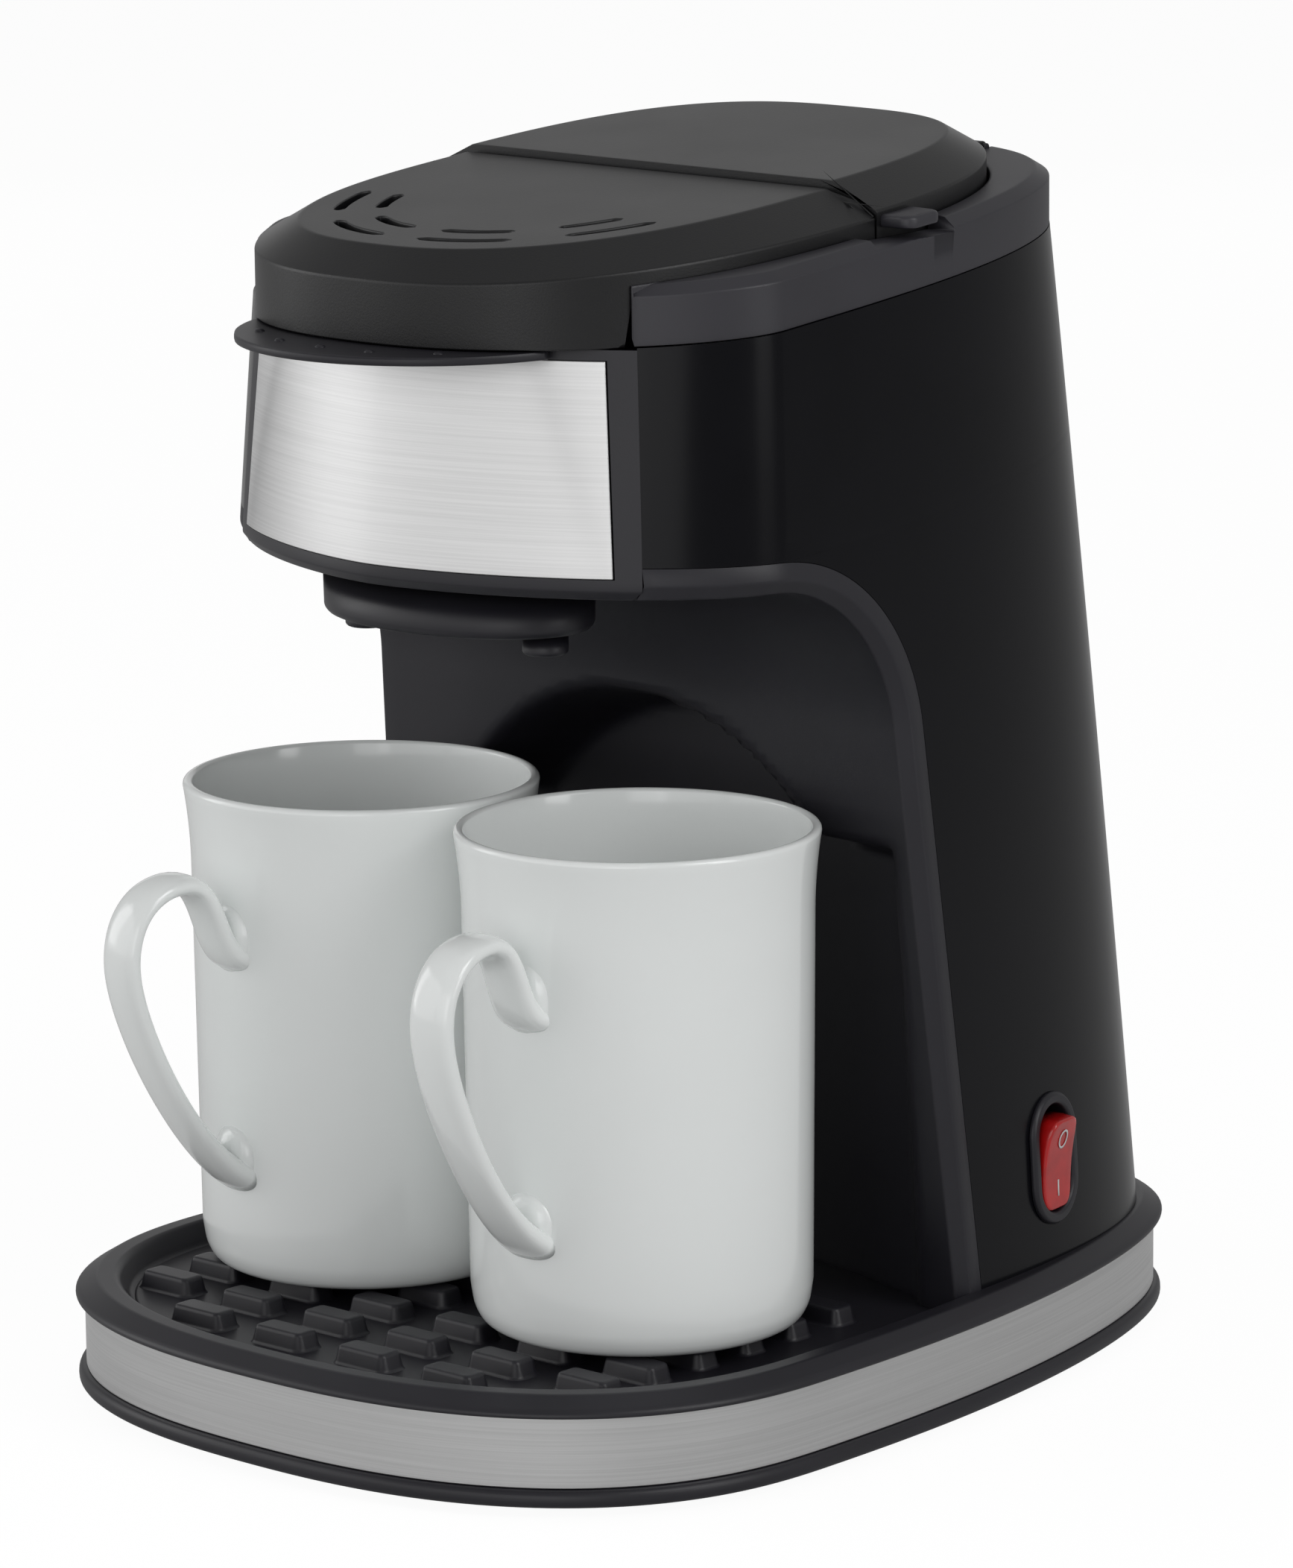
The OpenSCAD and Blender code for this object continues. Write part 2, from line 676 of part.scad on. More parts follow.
module cold_hose() color([0.8, 0.8, 0.78]) difference() {
    translate([inlet.x, inlet.y, heater_z + 6.2])
        cylinder(r = hose_r, h = tank_z - heater_z - 12.2, $fn = 48);
    translate([inlet.x, inlet.y, heater_z]) cylinder(r = hose_bore_r, h = tank_z, $fn = 48);
}

leg_ends = [riser, inlet];

module u_path(r) {
    translate([0, heater_y, heater_z]) rotate_extrude(angle = 180, $fn = 64)
        translate([heater_bend_r, 0]) circle(r = r, $fn = 32);
    for (p = leg_ends) bar([p.x, p.y, heater_z], [p.x, heater_y, heater_z], r);
}

module heater_tube() color([0.75, 0.75, 0.76]) {
    u_path(heater_tube_r);
    for (p = leg_ends) {
        translate([p.x, p.y, heater_z]) sphere(r = heater_tube_r, $fn = 32);
        bar([p.x, p.y, heater_z], [p.x, p.y, heater_z + 13], heater_tube_r);
    }
}

module heater_body() color([0.7, 0.7, 0.7]) difference() {
    union() {
        translate([0, heater_y, heater_z]) rotate_extrude(angle = 180, $fn = 64)
            translate([heater_bend_r, -4]) square([14, 20], center = true);
        for (s = [-1, 1])
            block(s * heater_bend_r - 7, s * heater_bend_r + 7, 57, heater_y, heater_z - 14, heater_z + 6);
    }
    u_path(heater_tube_r + 0.02);
}

bracket_y = 66;
bracket_half_w = 44;
bracket_half_d = 6;
bracket_t = 1.2;

module bracket_plate(x, half_w, z0, z1) {
    block(x - half_w, x + half_w, bracket_y - bracket_half_d, bracket_y + bracket_half_d, z0, z1);
}

module heater_bracket() color("silver") difference() {
    union() {
        bracket_plate(0, bracket_half_w, heater_z + 6.1, heater_z + 6.1 + bracket_t);
        for (s = [-1, 1]) {
            leg_x = s * (bracket_half_w - bracket_t / 2);
            bracket_plate(leg_x, bracket_t / 2, deck_z + gap, heater_z + 6.1 + bracket_t);
            bracket_plate(leg_x + s * 3, 3.6, deck_z + gap, deck_z + gap + bracket_t);
        }
    }
    translate([0, bracket_y, 0]) cylinder(r = 2.1, h = 90, $fn = 32);
}

module thermostat() color([0.8, 0.79, 0.74]) {
    translate([0, 0, heater_z + 7.4]) translate([-heater_bend_r, 66, 0]) {
        cylinder(r = 8, h = 5, $fn = 48);
        cylinder(r = 5.5, h = 9, $fn = 48);
        for (s = [-1, 1]) block(s * 3 - 0.4, s * 3 + 0.4, -3, 3, 8.9, 15);
    }
}

module thermal_fuses() color([0.85, 0.83, 0.75])
    for (y = [50, 54]) bar([8, y, heater_z - 8], [18, y, heater_z - 8], 1.6);

module riser_tube() color([0.85, 0.85, 0.83]) difference() {
    union() {
        bar([riser.x, riser.y, heater_z + 6], [riser.x, riser.y, riser_top_z], riser_r);
        translate([riser.x, riser.y, riser_top_z]) sphere(r = riser_r, $fn = 32);
        bar([riser.x, riser.y, riser_top_z], [riser.x, 18, riser_top_z], riser_r);
    }
    translate([riser.x, riser.y, heater_z]) cylinder(r = 3.55, h = 190, $fn = 48);
    bar([riser.x, riser.y + 1, riser_top_z], [riser.x, 10, riser_top_z], shower_arm_r + 0.1);
}

shower_r = 18;

module shower_head() color([0.2, 0.2, 0.2]) difference() {
    union() {
        bar([riser.x, 27, riser_top_z], [riser.x, brew_y, riser_top_z], shower_arm_r);
        bar([riser.x - shower_arm_r, brew_y, riser_top_z], [0, brew_y, riser_top_z], shower_arm_r);
        translate([0, brew_y, 240.4]) cylinder(r = shower_r, h = 6, $fn = 64);
    }
    translate([0, brew_y, 239]) cylinder(r = shower_r - 1.6, h = 3, $fn = 64);
    for (a = [0:45:315])
        translate([11 * cos(a), brew_y + 11 * sin(a), 236]) cylinder(r = 1.2, h = 8, $fn = 24);
}

module clamp_ring(x, y, z, r) translate([x, y, z]) difference() {
    union() {
        cylinder(r = r + 1.2, h = 4, $fn = 48);
        translate([0, r - 1, 0]) cube([5, 5, 4]);
    }
    translate([0, 0, -1]) cylinder(r = r + 0.02, h = 6, $fn = 48);
}

module hose_clamps() color([0.7, 0.7, 0.7]) {
    clamp_ring(inlet.x, inlet.y, tank_z - 13, hose_r);
    clamp_ring(inlet.x, inlet.y, heater_z + 8, hose_r);
    clamp_ring(riser.x, riser.y, heater_z + 9, riser_r);
}

/* ---- switch and wiring ---- */

module switch_bezel() color([0.07, 0.07, 0.08]) on_switch() difference() {
    union() {
        translate([0.2, 0, 0]) stadium(bezel_w, bezel_h, 2.4);
        translate([-4, 0, 0]) stadium(bezel_w - 4.4, bezel_h - 4.4, 5);
    }
    translate([-6, 0, 0]) stadium(bezel_w - 6.4, bezel_h - 6.4, 12);
}

module switch_body() color([0.08, 0.08, 0.09]) on_switch() difference() {
    translate([-24, -8, -12]) cube([20, 16, 24]);
    translate([-17, -5.7, -11]) cube([20, 11.4, 22]);
    translate([-3.4, 0, 0]) rotate([90, 0, 0]) cylinder(r = 16, h = 11.4, center = true, $fn = 64);
}

rocker_pivot = -5;

module rocker() color([0.75, 0.13, 0.13]) on_switch() translate([rocker_pivot, 0, 0])
    rotate([0, rocker_tilt, 0]) difference() {
        intersection() {
            translate([0, 5.5, 0]) rotate([90, 0, 0]) linear_extrude(11)
                polygon([[0, -4], [-5, 0], [0, 4], [6.6, 10], [7.9, 10], [7.1, 6], [6.7, 0], [7.1, -6],
                    [7.9, -10], [6.6, -10]]);
            translate([-10, 0, 0]) stadium(11, 20.8, 20);
        }
        rotate([90, 0, 0]) cylinder(r = 1, h = 20, center = true, $fn = 32);
    }

module switch_terminals() color([0.8, 0.68, 0.4]) on_switch()
    for (z = [-7, 0, 7]) translate([-31.9, -3, z - 0.4]) cube([7.8, 6, 0.8]);

module switch_wires() color([0.1, 0.1, 0.1]) {
    bar([46, 41.5, 43], [47.5, 81, 40.3], 1.2);
    bar([46, 41.5, 50], [54.5, 81, 40.3], 1.2);
}

module terminal_block() color([0.9, 0.9, 0.86]) difference() {
    block(44, 58, 75, 87, deck_z + 0.1, deck_z + 13);
    for (x = [47.5, 54.5]) translate([x, 81, 30]) cylinder(r = 2, h = 20, $fn = 24);
}

gland_x = -30;
gland_z = 44;
gland_length = 15.4;
gland_r = 5.9;
cord_bore_r = 3.6;
gland_end = rear_y(body_at(gland_z - 8), gland_x + 8) + 2.1;

module cord_gland() color([0.07, 0.07, 0.07])
    translate([gland_x, gland_end, gland_z]) rotate([90, 0, 0]) difference() {
        union() {
            cylinder(r = gland_r, h = gland_length, $fn = 48);
            cylinder(r = 8, h = 2, $fn = 48);
            translate([0, 0, gland_length - 2]) cylinder(r = 7.5, h = 2, $fn = 48);
        }
        translate([0, 0, -5]) cylinder(r = cord_bore_r, h = 30, $fn = 48);
    }

/* ---- mugs ---- */

handle_curves = [
    [[35.7, 73], [43, 74.5], [41, 91.5], [52, 91]],
    [[52, 91], [61, 90.5], [66.2, 83], [65.2, 73]],
    [[65.2, 73], [63.7, 59], [48, 29.5], [35.5, 24]]];
handle_turns = [-8, 1.5];
handle_w = 11;
handle_t = 4.6;

function handle_point(u) = bezier(handle_curves[min(2, floor(u))], u - min(2, floor(u)));
function handle_ring(u) = let (
        p = handle_point(u),
        q = handle_point(min(3, u + 0.01)) - handle_point(max(0, u - 0.01)),
        n = [q.y, -q.x] / norm(q),
        flare = 1 + 0.35 * pow(abs(u - 1.5) / 1.5, 6))
    [for (i = [0:15]) let (
        a = 360 * i / 16,
        w = handle_w / 2 * flare * power(cos(a), 2.6),
        t = handle_t / 2 * flare * power(sin(a), 2.6))
        [-w, -(p.x + n.x * t), p.y + n.y * t]];

module mug(turn) {
    translate([0, 0, bump_top + 0.05]) {
        rotate_extrude($fn = 128) polygon([
            [0, 1.6], [27, 1.6], [28, 0], [32.2, 0], [34.6, 1.2], [36.2, 4], [36.8, 9], [37.4, 50],
            [37.5, 88], [38, 100], [mug_r, mug_h - 0.8], [mug_r - 0.4, mug_h], [mug_r - 1.6, mug_h],
            [mug_r - mug_wall - 1, 98], [37.5 - mug_wall, 60], [36.6 - mug_wall, 10], [30, 5.2], [0, 4.8]]);
        rotate([0, 0, turn]) loft([for (k = [0:24]) handle_ring(k / 8)]);
    }
}

module mug_left() color([0.93, 0.94, 0.94]) translate([-mug_x, mug_y, 0]) mug(handle_turns[0]);

module mug_right() color([0.93, 0.94, 0.94]) translate([mug_x, mug_y, 0]) mug(handle_turns[1]);

base_pan();
rubber_feet();
base_screws();
steel_band();
base_deck();
bump_mat();
body_shell();
column_liner();
head_frame();
steel_panel();
collar();
front_lid();
grip_lip();
front_lid_pins();
tank_lid();
tank_lid_pins();
filter_well();
filter_holder();
mesh_filter();
filter_handle();
outlet_housing();
spouts();
water_tank();
check_valve();
cold_hose();
heater_body();
heater_tube();
heater_bracket();
thermostat();
thermal_fuses();
riser_tube();
shower_head();
hose_clamps();
switch_bezel();
switch_body();
rocker();
switch_terminals();
switch_wires();
terminal_block();
cord_gland();
mug_left();
mug_right();
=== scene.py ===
"""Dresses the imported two-mug drip coffee maker: meshes, finishes, studio and camera.

The CAD frame gives the bodies and the inner parts. Everything that shows on the outside
gets a detailed mesh here, in the same place, and rides on its CAD body.
Lengths are in millimetres until a mesh is written, and the axes are the frame's own.
"""

import json
import logging
import math
from dataclasses import dataclass, field
from enum import Enum
from typing import Callable, Optional, Sequence

import bmesh
import bpy
from mathutils import Matrix, Vector

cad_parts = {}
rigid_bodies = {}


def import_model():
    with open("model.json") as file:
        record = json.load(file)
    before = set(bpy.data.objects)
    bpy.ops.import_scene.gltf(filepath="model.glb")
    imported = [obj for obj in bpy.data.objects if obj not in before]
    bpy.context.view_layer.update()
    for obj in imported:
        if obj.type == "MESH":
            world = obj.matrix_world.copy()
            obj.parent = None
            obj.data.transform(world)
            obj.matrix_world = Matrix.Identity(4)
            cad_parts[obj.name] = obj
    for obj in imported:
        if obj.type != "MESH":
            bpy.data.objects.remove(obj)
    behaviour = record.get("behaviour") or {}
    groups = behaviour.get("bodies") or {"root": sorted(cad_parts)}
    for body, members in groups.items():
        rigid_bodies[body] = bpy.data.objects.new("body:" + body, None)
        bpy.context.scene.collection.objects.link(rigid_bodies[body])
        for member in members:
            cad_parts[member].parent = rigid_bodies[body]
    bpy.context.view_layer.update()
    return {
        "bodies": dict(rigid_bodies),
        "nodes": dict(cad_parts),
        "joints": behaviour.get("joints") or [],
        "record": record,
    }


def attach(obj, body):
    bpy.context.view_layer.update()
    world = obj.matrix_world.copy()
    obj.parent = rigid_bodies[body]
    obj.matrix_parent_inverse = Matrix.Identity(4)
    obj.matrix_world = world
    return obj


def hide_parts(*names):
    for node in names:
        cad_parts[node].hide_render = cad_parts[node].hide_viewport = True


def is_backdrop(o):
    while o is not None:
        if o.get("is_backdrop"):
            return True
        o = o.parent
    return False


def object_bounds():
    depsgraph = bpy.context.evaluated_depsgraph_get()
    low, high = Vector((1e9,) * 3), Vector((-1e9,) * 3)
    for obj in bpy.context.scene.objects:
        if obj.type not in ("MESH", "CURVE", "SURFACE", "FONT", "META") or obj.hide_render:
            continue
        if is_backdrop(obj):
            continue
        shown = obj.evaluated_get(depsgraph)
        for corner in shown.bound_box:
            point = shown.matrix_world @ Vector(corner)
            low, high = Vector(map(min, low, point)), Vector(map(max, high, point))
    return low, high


log = logging.getLogger("coffee_maker")

MM = 0.001
WELD = 1e-7
SLOPE = math.tan(math.radians(4.86))
Point = tuple[float, float, float]
Flat = tuple[float, float]
Colour = tuple[float, float, float]


class Body(Enum):
    """The moving bodies of the CAD frame."""

    MACHINE = "machine"
    FRONT_LID = "front_lid"
    TANK_LID = "tank_lid"
    ROCKER = "rocker"
    MUG_LEFT = "mug_left"
    MUG_RIGHT = "mug_right"


class Slot(Enum):
    """The material slots of the record."""

    SATIN_BLACK = "satin_black"
    GLOSS_BLACK = "gloss_black"
    LINER_BLACK = "liner_black"
    LID_BLACK = "lid_black"
    RUBBER = "rubber"
    STEEL = "steel"
    ZINC = "zinc"
    ALUMINIUM = "aluminium"
    MESH = "mesh"
    TANK = "tank"
    SILICONE = "silicone"
    RED_ROCKER = "red_rocker"
    BRASS = "brass"
    NYLON = "nylon"
    PORCELAIN = "porcelain"


class Accent(Enum):
    """Finishes that belong to no material slot of their own."""

    COLLAR_BLACK = "collar_black"
    MARK_WHITE = "mark_white"


class Lid(Enum):
    """The two lids."""

    FRONT = "front"
    TANK = "tank"


# ---------------------------------------------------------------- small maths


def linear(level: float) -> float:
    """Returns the linear value of one sRGB channel given from 0 to 255."""
    v = level / 255
    return v / 12.92 if v <= 0.04045 else ((v + 0.055) / 1.055) ** 2.4


def rgb(red: float, green: float, blue: float) -> Colour:
    """Returns a linear colour from three sRGB channels given from 0 to 255."""
    return linear(red), linear(green), linear(blue)


def shade(colour: Colour, level: float) -> Colour:
    """Returns a colour at a lower level."""
    return colour[0] * level, colour[1] * level, colour[2] * level


def mix(a: float, b: float, share: float) -> float:
    """Returns the value that lies that share of the way from a to b."""
    return a + (b - a) * share


def smooth(low: float, high: float, value: float) -> float:
    """Returns 0 below low, 1 above high and a soft step between."""
    t = min(1.0, max(0.0, (value - low) / (high - low)))
    return t * t * (3 - 2 * t)


def power(value: float, exponent: float) -> float:
    """Returns the signed power that a superellipse with that exponent needs."""
    return math.copysign(abs(value) ** (2 / exponent), value)


def turns(count: int) -> list[float]:
    """Returns evenly spaced angles round a full circle, in radians."""
    return [2 * math.pi * i / count for i in range(count)]


def sloped(z: float, y: float) -> float:
    """Returns the height at y of the sloping plane that passes z at y = 0."""
    return z + SLOPE * y


def rounded(corners: Sequence[Flat], radius: float, steps: int = 4) -> list[Flat]:
    """Rounds the inner corners of an open profile.

    Args:
        corners: The profile's corner points.
        radius: How far from a corner the rounding starts.
        steps: Points along each rounding.

    Returns:
        The profile with each inner corner replaced by a short curve.
    """
    out: list[Flat] = [corners[0]]
    for before, at, after in zip(corners, corners[1:], corners[2:]):
        a, p, b = Vector(before), Vector(at), Vector(after)
        start = p + (a - p).normalized() * min(radius, (a - p).length * 0.45)
        end = p + (b - p).normalized() * min(radius, (b - p).length * 0.45)
        for k in range(steps + 1):
            t = k / steps
            q = start * (1 - t) ** 2 + p * 2 * t * (1 - t) + end * t * t
            out.append((q.x, q.y))
    out.append(corners[-1])
    return out


@dataclass(frozen=True)
class Outline:
    """A plan view with a superellipse front and a superellipse rear that can flatten out.

    Attributes:
        half_w: Half of the width.
        front: Reach forwards of the widest place.
        front_n: Exponent of the front.
        rear: Reach backwards of the widest place.
        rear_n: Exponent of the rear.
        limit: Reach at which the rear flattens out.
        y: Where the outline is widest.
    """

    half_w: float
    front: float
    front_n: float
    rear: float
    rear_n: float
    limit: float
    y: float

    def point(self, angle: float, grow: float = 0.0) -> Flat:
        """Returns a point of the outline.

        Args:
            angle: Degrees counted from the nose.
            grow: How far the outline is grown outwards.

        Returns:
            The point's x and y.
        """
        s, c = math.sin(math.radians(angle)), math.cos(math.radians(angle))
        half_w = self.half_w + grow
        if c >= 0:
            return half_w * power(s, self.front_n), self.y - (self.front + grow) * power(c, self.front_n)
        reach = (self.rear + grow) * abs(c) ** (2 / self.rear_n)
        sharpness = 8
        reach /= (1 + (reach / (self.limit + grow)) ** sharpness) ** (1 / sharpness)
        return half_w * power(s, self.rear_n), self.y + reach

    def mixed(self, other: "Outline", share: float) -> "Outline":
        """Returns the outline that lies that share of the way to another."""
        mine, theirs = list(vars(self).values()), list(vars(other).values())
        return Outline(*[mix(a, b, share) for a, b in zip(mine, theirs)])

    def angle_at(self, y: float, grow: float = 0.0) -> float:
        """Finds where the outline passes y on the right side.

        Args:
            y: The y to find.
            grow: How far the outline is grown outwards.

        Returns:
            The angle, in degrees from the nose.
        """
        low, high, halvings = 0.0, 180.0, 40
        for _ in range(halvings):
            middle = (low + high) / 2
            if self.point(middle, grow)[1] < y:
                low = middle
            else:
                high = middle
        return (low + high) / 2

    def x_at(self, y: float, grow: float = 0.0) -> float:
        """Returns the half-width at y."""
        return self.point(self.angle_at(y, grow), grow)[0]

    def even_angles(self, first: float, last: float, count: int) -> list[float]:
        """Spaces points evenly along the outline.

        Args:
            first: Angle of the first point.
            last: Angle of the last point.
            count: Number of steps between them.

        Returns:
            The angles of the count + 1 points.
        """
        steps = 2000
        fine = [mix(first, last, k / steps) for k in range(steps + 1)]
        points = [Vector(self.point(a)) for a in fine]
        run = [0.0]
        for a, b in zip(points, points[1:]):
            run.append(run[-1] + (b - a).length)
        out, at = [], 0
        for k in range(count + 1):
            want = run[-1] * k / count
            while at < steps - 1 and run[at + 1] < want:
                at += 1
            share = (want - run[at]) / max(1e-9, run[at + 1] - run[at])
            out.append(mix(fine[at], fine[at + 1], min(1.0, share)))
        return out


BASE = Outline(93.3, 75.6, 2.42, 197.6, 2.22, 179.5, -46.5)
BODY_FOOT = Outline(85.8, 58.2, 1.45, 179.8, 2.73, 172, -44.9)
BODY_TOP = Outline(72.9, 43.2, 1.72, 132.5, 2.97, 150, -33.2)
LID_LOW = Outline(64.5, 88, 2.4, 84, 2.3, 400, 0.5)
LID_TOP = Outline(52.4, 74, 2.43, 79, 2.9, 400, -5.5)

# Places that several sub-assemblies share.
DECK_Z = 25.7
HEAD_Z = 192.0
SKIRT_Z = 237.0
SEAM_Z = 242.4
CROWN_Z = 250.0
FRAME_Y = -61.5
FRAME_LEAN = 0.053


def body_at(z: float) -> Outline:
    """Returns the body's outline at a height."""
    return BODY_FOOT.mixed(BODY_TOP, (z - DECK_Z) / (CROWN_Z - DECK_Z))


def frame_back(z: float) -> float:
    """Returns the y where the head's frame meets the body at a height."""
    return FRAME_Y + FRAME_LEAN * (z - HEAD_Z)


# ---------------------------------------------------------------- meshes


class Sketch:
    """Collects points and faces, and turns them into one piece."""

    def __init__(self) -> None:
        """Starts with no points and no faces."""
        self.points: list[Point] = []
        self.faces: list[list[int]] = []

    def grid(
        self,
        rows: Sequence[Sequence[Point]],
        around: bool = False,
        loop: bool = False,
        caps: tuple[bool, bool] = (False, False),
        keep: Optional[Callable[[int, int], bool]] = None,
    ) -> "Sketch":
        """Adds quads between rows of points.

        Args:
            rows: Rows of equal length.
            around: Each row is a closed ring.
            loop: The last row joins the first.
            caps: Whether the first and the last row get a flat cap.
            keep: Says which cells, by row and column, are made.

        Returns:
            The sketch itself.
        """
        start, n = len(self.points), len(rows[0])
        for row in rows:
            self.points.extend(row)
        for k in range(len(rows) if loop else len(rows) - 1):
            low, high = start + k * n, start + ((k + 1) % len(rows)) * n
            for i in range(n if around else n - 1):
                j = (i + 1) % n
                if keep is None or keep(k, i):
                    self.faces.append([low + i, low + j, high + j, high + i])
        if caps[0]:
            self.faces.append([start + i for i in reversed(range(n))])
        if caps[1]:
            self.faces.append([start + (len(rows) - 1) * n + i for i in range(n)])
        return self

    def closed(self, rings: Sequence[Sequence[Point]]) -> "Sketch":
        """Adds rings with a flat cap at both ends, and returns the sketch itself."""
        return self.grid(rings, around=True, caps=(True, True))

    def mesh(self, name: str) -> bpy.types.Mesh:
        """Makes a Blender mesh in metres, with its faces turned outwards where it is closed.

        Args:
            name: The mesh's name.

        Returns:
            The mesh.
        """
        data = bpy.data.meshes.new(name)
        data.from_pydata([tuple(c * MM for c in p) for p in self.points], [], self.faces)
        work = bmesh.new()
        work.from_mesh(data)
        bmesh.ops.remove_doubles(work, verts=work.verts, dist=WELD)
        if all(e.is_manifold for e in work.edges):
            bmesh.ops.recalc_face_normals(work, faces=work.faces)
        work.to_mesh(data)
        work.free()
        data.validate()
        for polygon in data.polygons:
            polygon.use_smooth = True
        return data


@dataclass(frozen=True)
class Trim:
    """What is done to a sketch after its faces are made: wall thickness, cuts and edge rounding."""

    wall: float = 0.0
    bevel: float = 0.0
    bevel_angle: float = 50.0
    steps: int = 3
    cutters: tuple[bpy.types.Object, ...] = ()
    cut_first: bool = False


def solid(name: str, sketch: Sketch) -> bpy.types.Object:
    """Makes a plain object from a sketch, such as one that cuts others.

    Args:
        name: The object's name.
        sketch: Its faces.

    Returns:
        The object.
    """
    thing = bpy.data.objects.new(name, sketch.mesh(name))
    bpy.context.scene.collection.objects.link(thing)
    return thing


def baked(thing: bpy.types.Object) -> None:
    """Writes an object's modifiers into its mesh.

    Args:
        thing: The object.
    """
    graph = bpy.context.evaluated_depsgraph_get()
    data = bpy.data.meshes.new_from_object(thing.evaluated_get(graph))
    thing.modifiers.clear()
    thing.data = data


def cut(thing: bpy.types.Object, cutters: Sequence[bpy.types.Object]) -> None:
    """Adds modifiers that take other solids out of an object.

    Args:
        thing: The object.
        cutters: The solids to take out of it.
    """
    for cutter in cutters:
        hole = thing.modifiers.new("cut", "BOOLEAN")
        hole.operation, hole.solver, hole.object = "DIFFERENCE", "EXACT", cutter


def piece(
    finishes: "Finishes",
    name: str,
    sketch: Sketch,
    body: Body,
    slot: Slot,
    trim: Trim = Trim(),
    stands_for: Sequence[str] = (),
    place: Optional[Matrix] = None,
    finish: Optional[Enum] = None,
) -> None:
    """Makes one finished piece of the visible machine.

    Args:
        finishes: The machine's materials.
        name: The piece's plain name.
        sketch: Its faces.
        body: The CAD body that it moves with.
        slot: The record's material slot.
        trim: Thickness, cuts and rounding.
        stands_for: CAD nodes that it replaces.
        place: A turn and move applied to the mesh, in metres.
        finish: Its finish, where that isn't the slot's own.
    """
    thing = solid(name, sketch)
    if place is not None:
        thing.data.transform(place)
    if trim.wall:
        wall = thing.modifiers.new("wall", "SOLIDIFY")
        wall.thickness, wall.offset = trim.wall * MM, -1.0
    if trim.cut_first:
        cut(thing, trim.cutters)
    if trim.bevel:
        edge = thing.modifiers.new("edge", "BEVEL")
        edge.width, edge.segments = trim.bevel * MM, trim.steps
        edge.limit_method, edge.angle_limit = "ANGLE", math.radians(trim.bevel_angle)
        edge.use_clamp_overlap = not trim.cut_first
        edge.miter_outer = "MITER_ARC"
    if not trim.cut_first:
        cut(thing, trim.cutters)
    thing.modifiers.new("normals", "WEIGHTED_NORMAL").keep_sharp = True
    baked(thing)
    for cutter in trim.cutters:
        bpy.data.objects.remove(cutter)
    thing.data.materials.clear()
    thing.data.materials.append(finishes[finish or slot])
    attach(thing, body.value)
    if stands_for:
        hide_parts(*stands_for)
    log.info("%s: %d faces", name, len(thing.data.polygons))


def lathe(profile: Sequence[Flat], centre: Flat, count: int = 128) -> list[list[Point]]:
    """Turns a profile about a vertical axis.

    Args:
        profile: Radius and height of each ring.
        centre: The axis's x and y.
        count: Points round each ring.

    Returns:
        The rings.
    """
    x, y = centre
    return [[(x + r * math.cos(t), y + r * math.sin(t), z) for t in turns(count)] for r, z in profile]


def box_sketch(low: Point, high: Point) -> Sketch:
    """Returns a plain box, used for cutting."""
    ring = [(low[0], low[1]), (high[0], low[1]), (high[0], high[1]), (low[0], high[1])]
    return Sketch().closed([[(x, y, z) for x, y in ring] for z in (low[2], high[2])])


# ---------------------------------------------------------------- finishes


class Wire:
    """A shader socket that works with plain arithmetic."""

    def __init__(self, nodes: "Nodes", socket: bpy.types.NodeSocket) -> None:
        """Keeps the socket and the tree that it belongs to."""
        self.nodes = nodes
        self.socket = socket

    def _math(self, operation: str, first: object, second: object) -> "Wire":
        """Returns a Math node's result for two numbers or wires."""
        return self.nodes.out("ShaderNodeMath", {"operation": operation}, {0: first, 1: second})

    def __add__(self, other: object) -> "Wire":
        """Returns wire + other."""
        return self._math("ADD", self, other)

    def __radd__(self, other: object) -> "Wire":
        """Returns other + wire."""
        return self._math("ADD", other, self)

    def __sub__(self, other: object) -> "Wire":
        """Returns wire - other."""
        return self._math("SUBTRACT", self, other)

    def __rsub__(self, other: object) -> "Wire":
        """Returns other - wire."""
        return self._math("SUBTRACT", other, self)

    def __mul__(self, other: object) -> "Wire":
        """Returns wire * other."""
        return self._math("MULTIPLY", self, other)

    def __rmul__(self, other: object) -> "Wire":
        """Returns other * wire."""
        return self._math("MULTIPLY", other, self)

    def sine(self) -> "Wire":
        """Returns the sine."""
        return self.nodes.out("ShaderNodeMath", {"operation": "SINE"}, {0: self})

    def softened(self, low: float, high: float) -> "Wire":
        """Returns 0 below low, 1 above high and a soft step between."""
        values = {"Value": self, "From Min": low, "From Max": high}
        return self.nodes.out("ShaderNodeMapRange", {"interpolation_type": "SMOOTHSTEP"}, values)


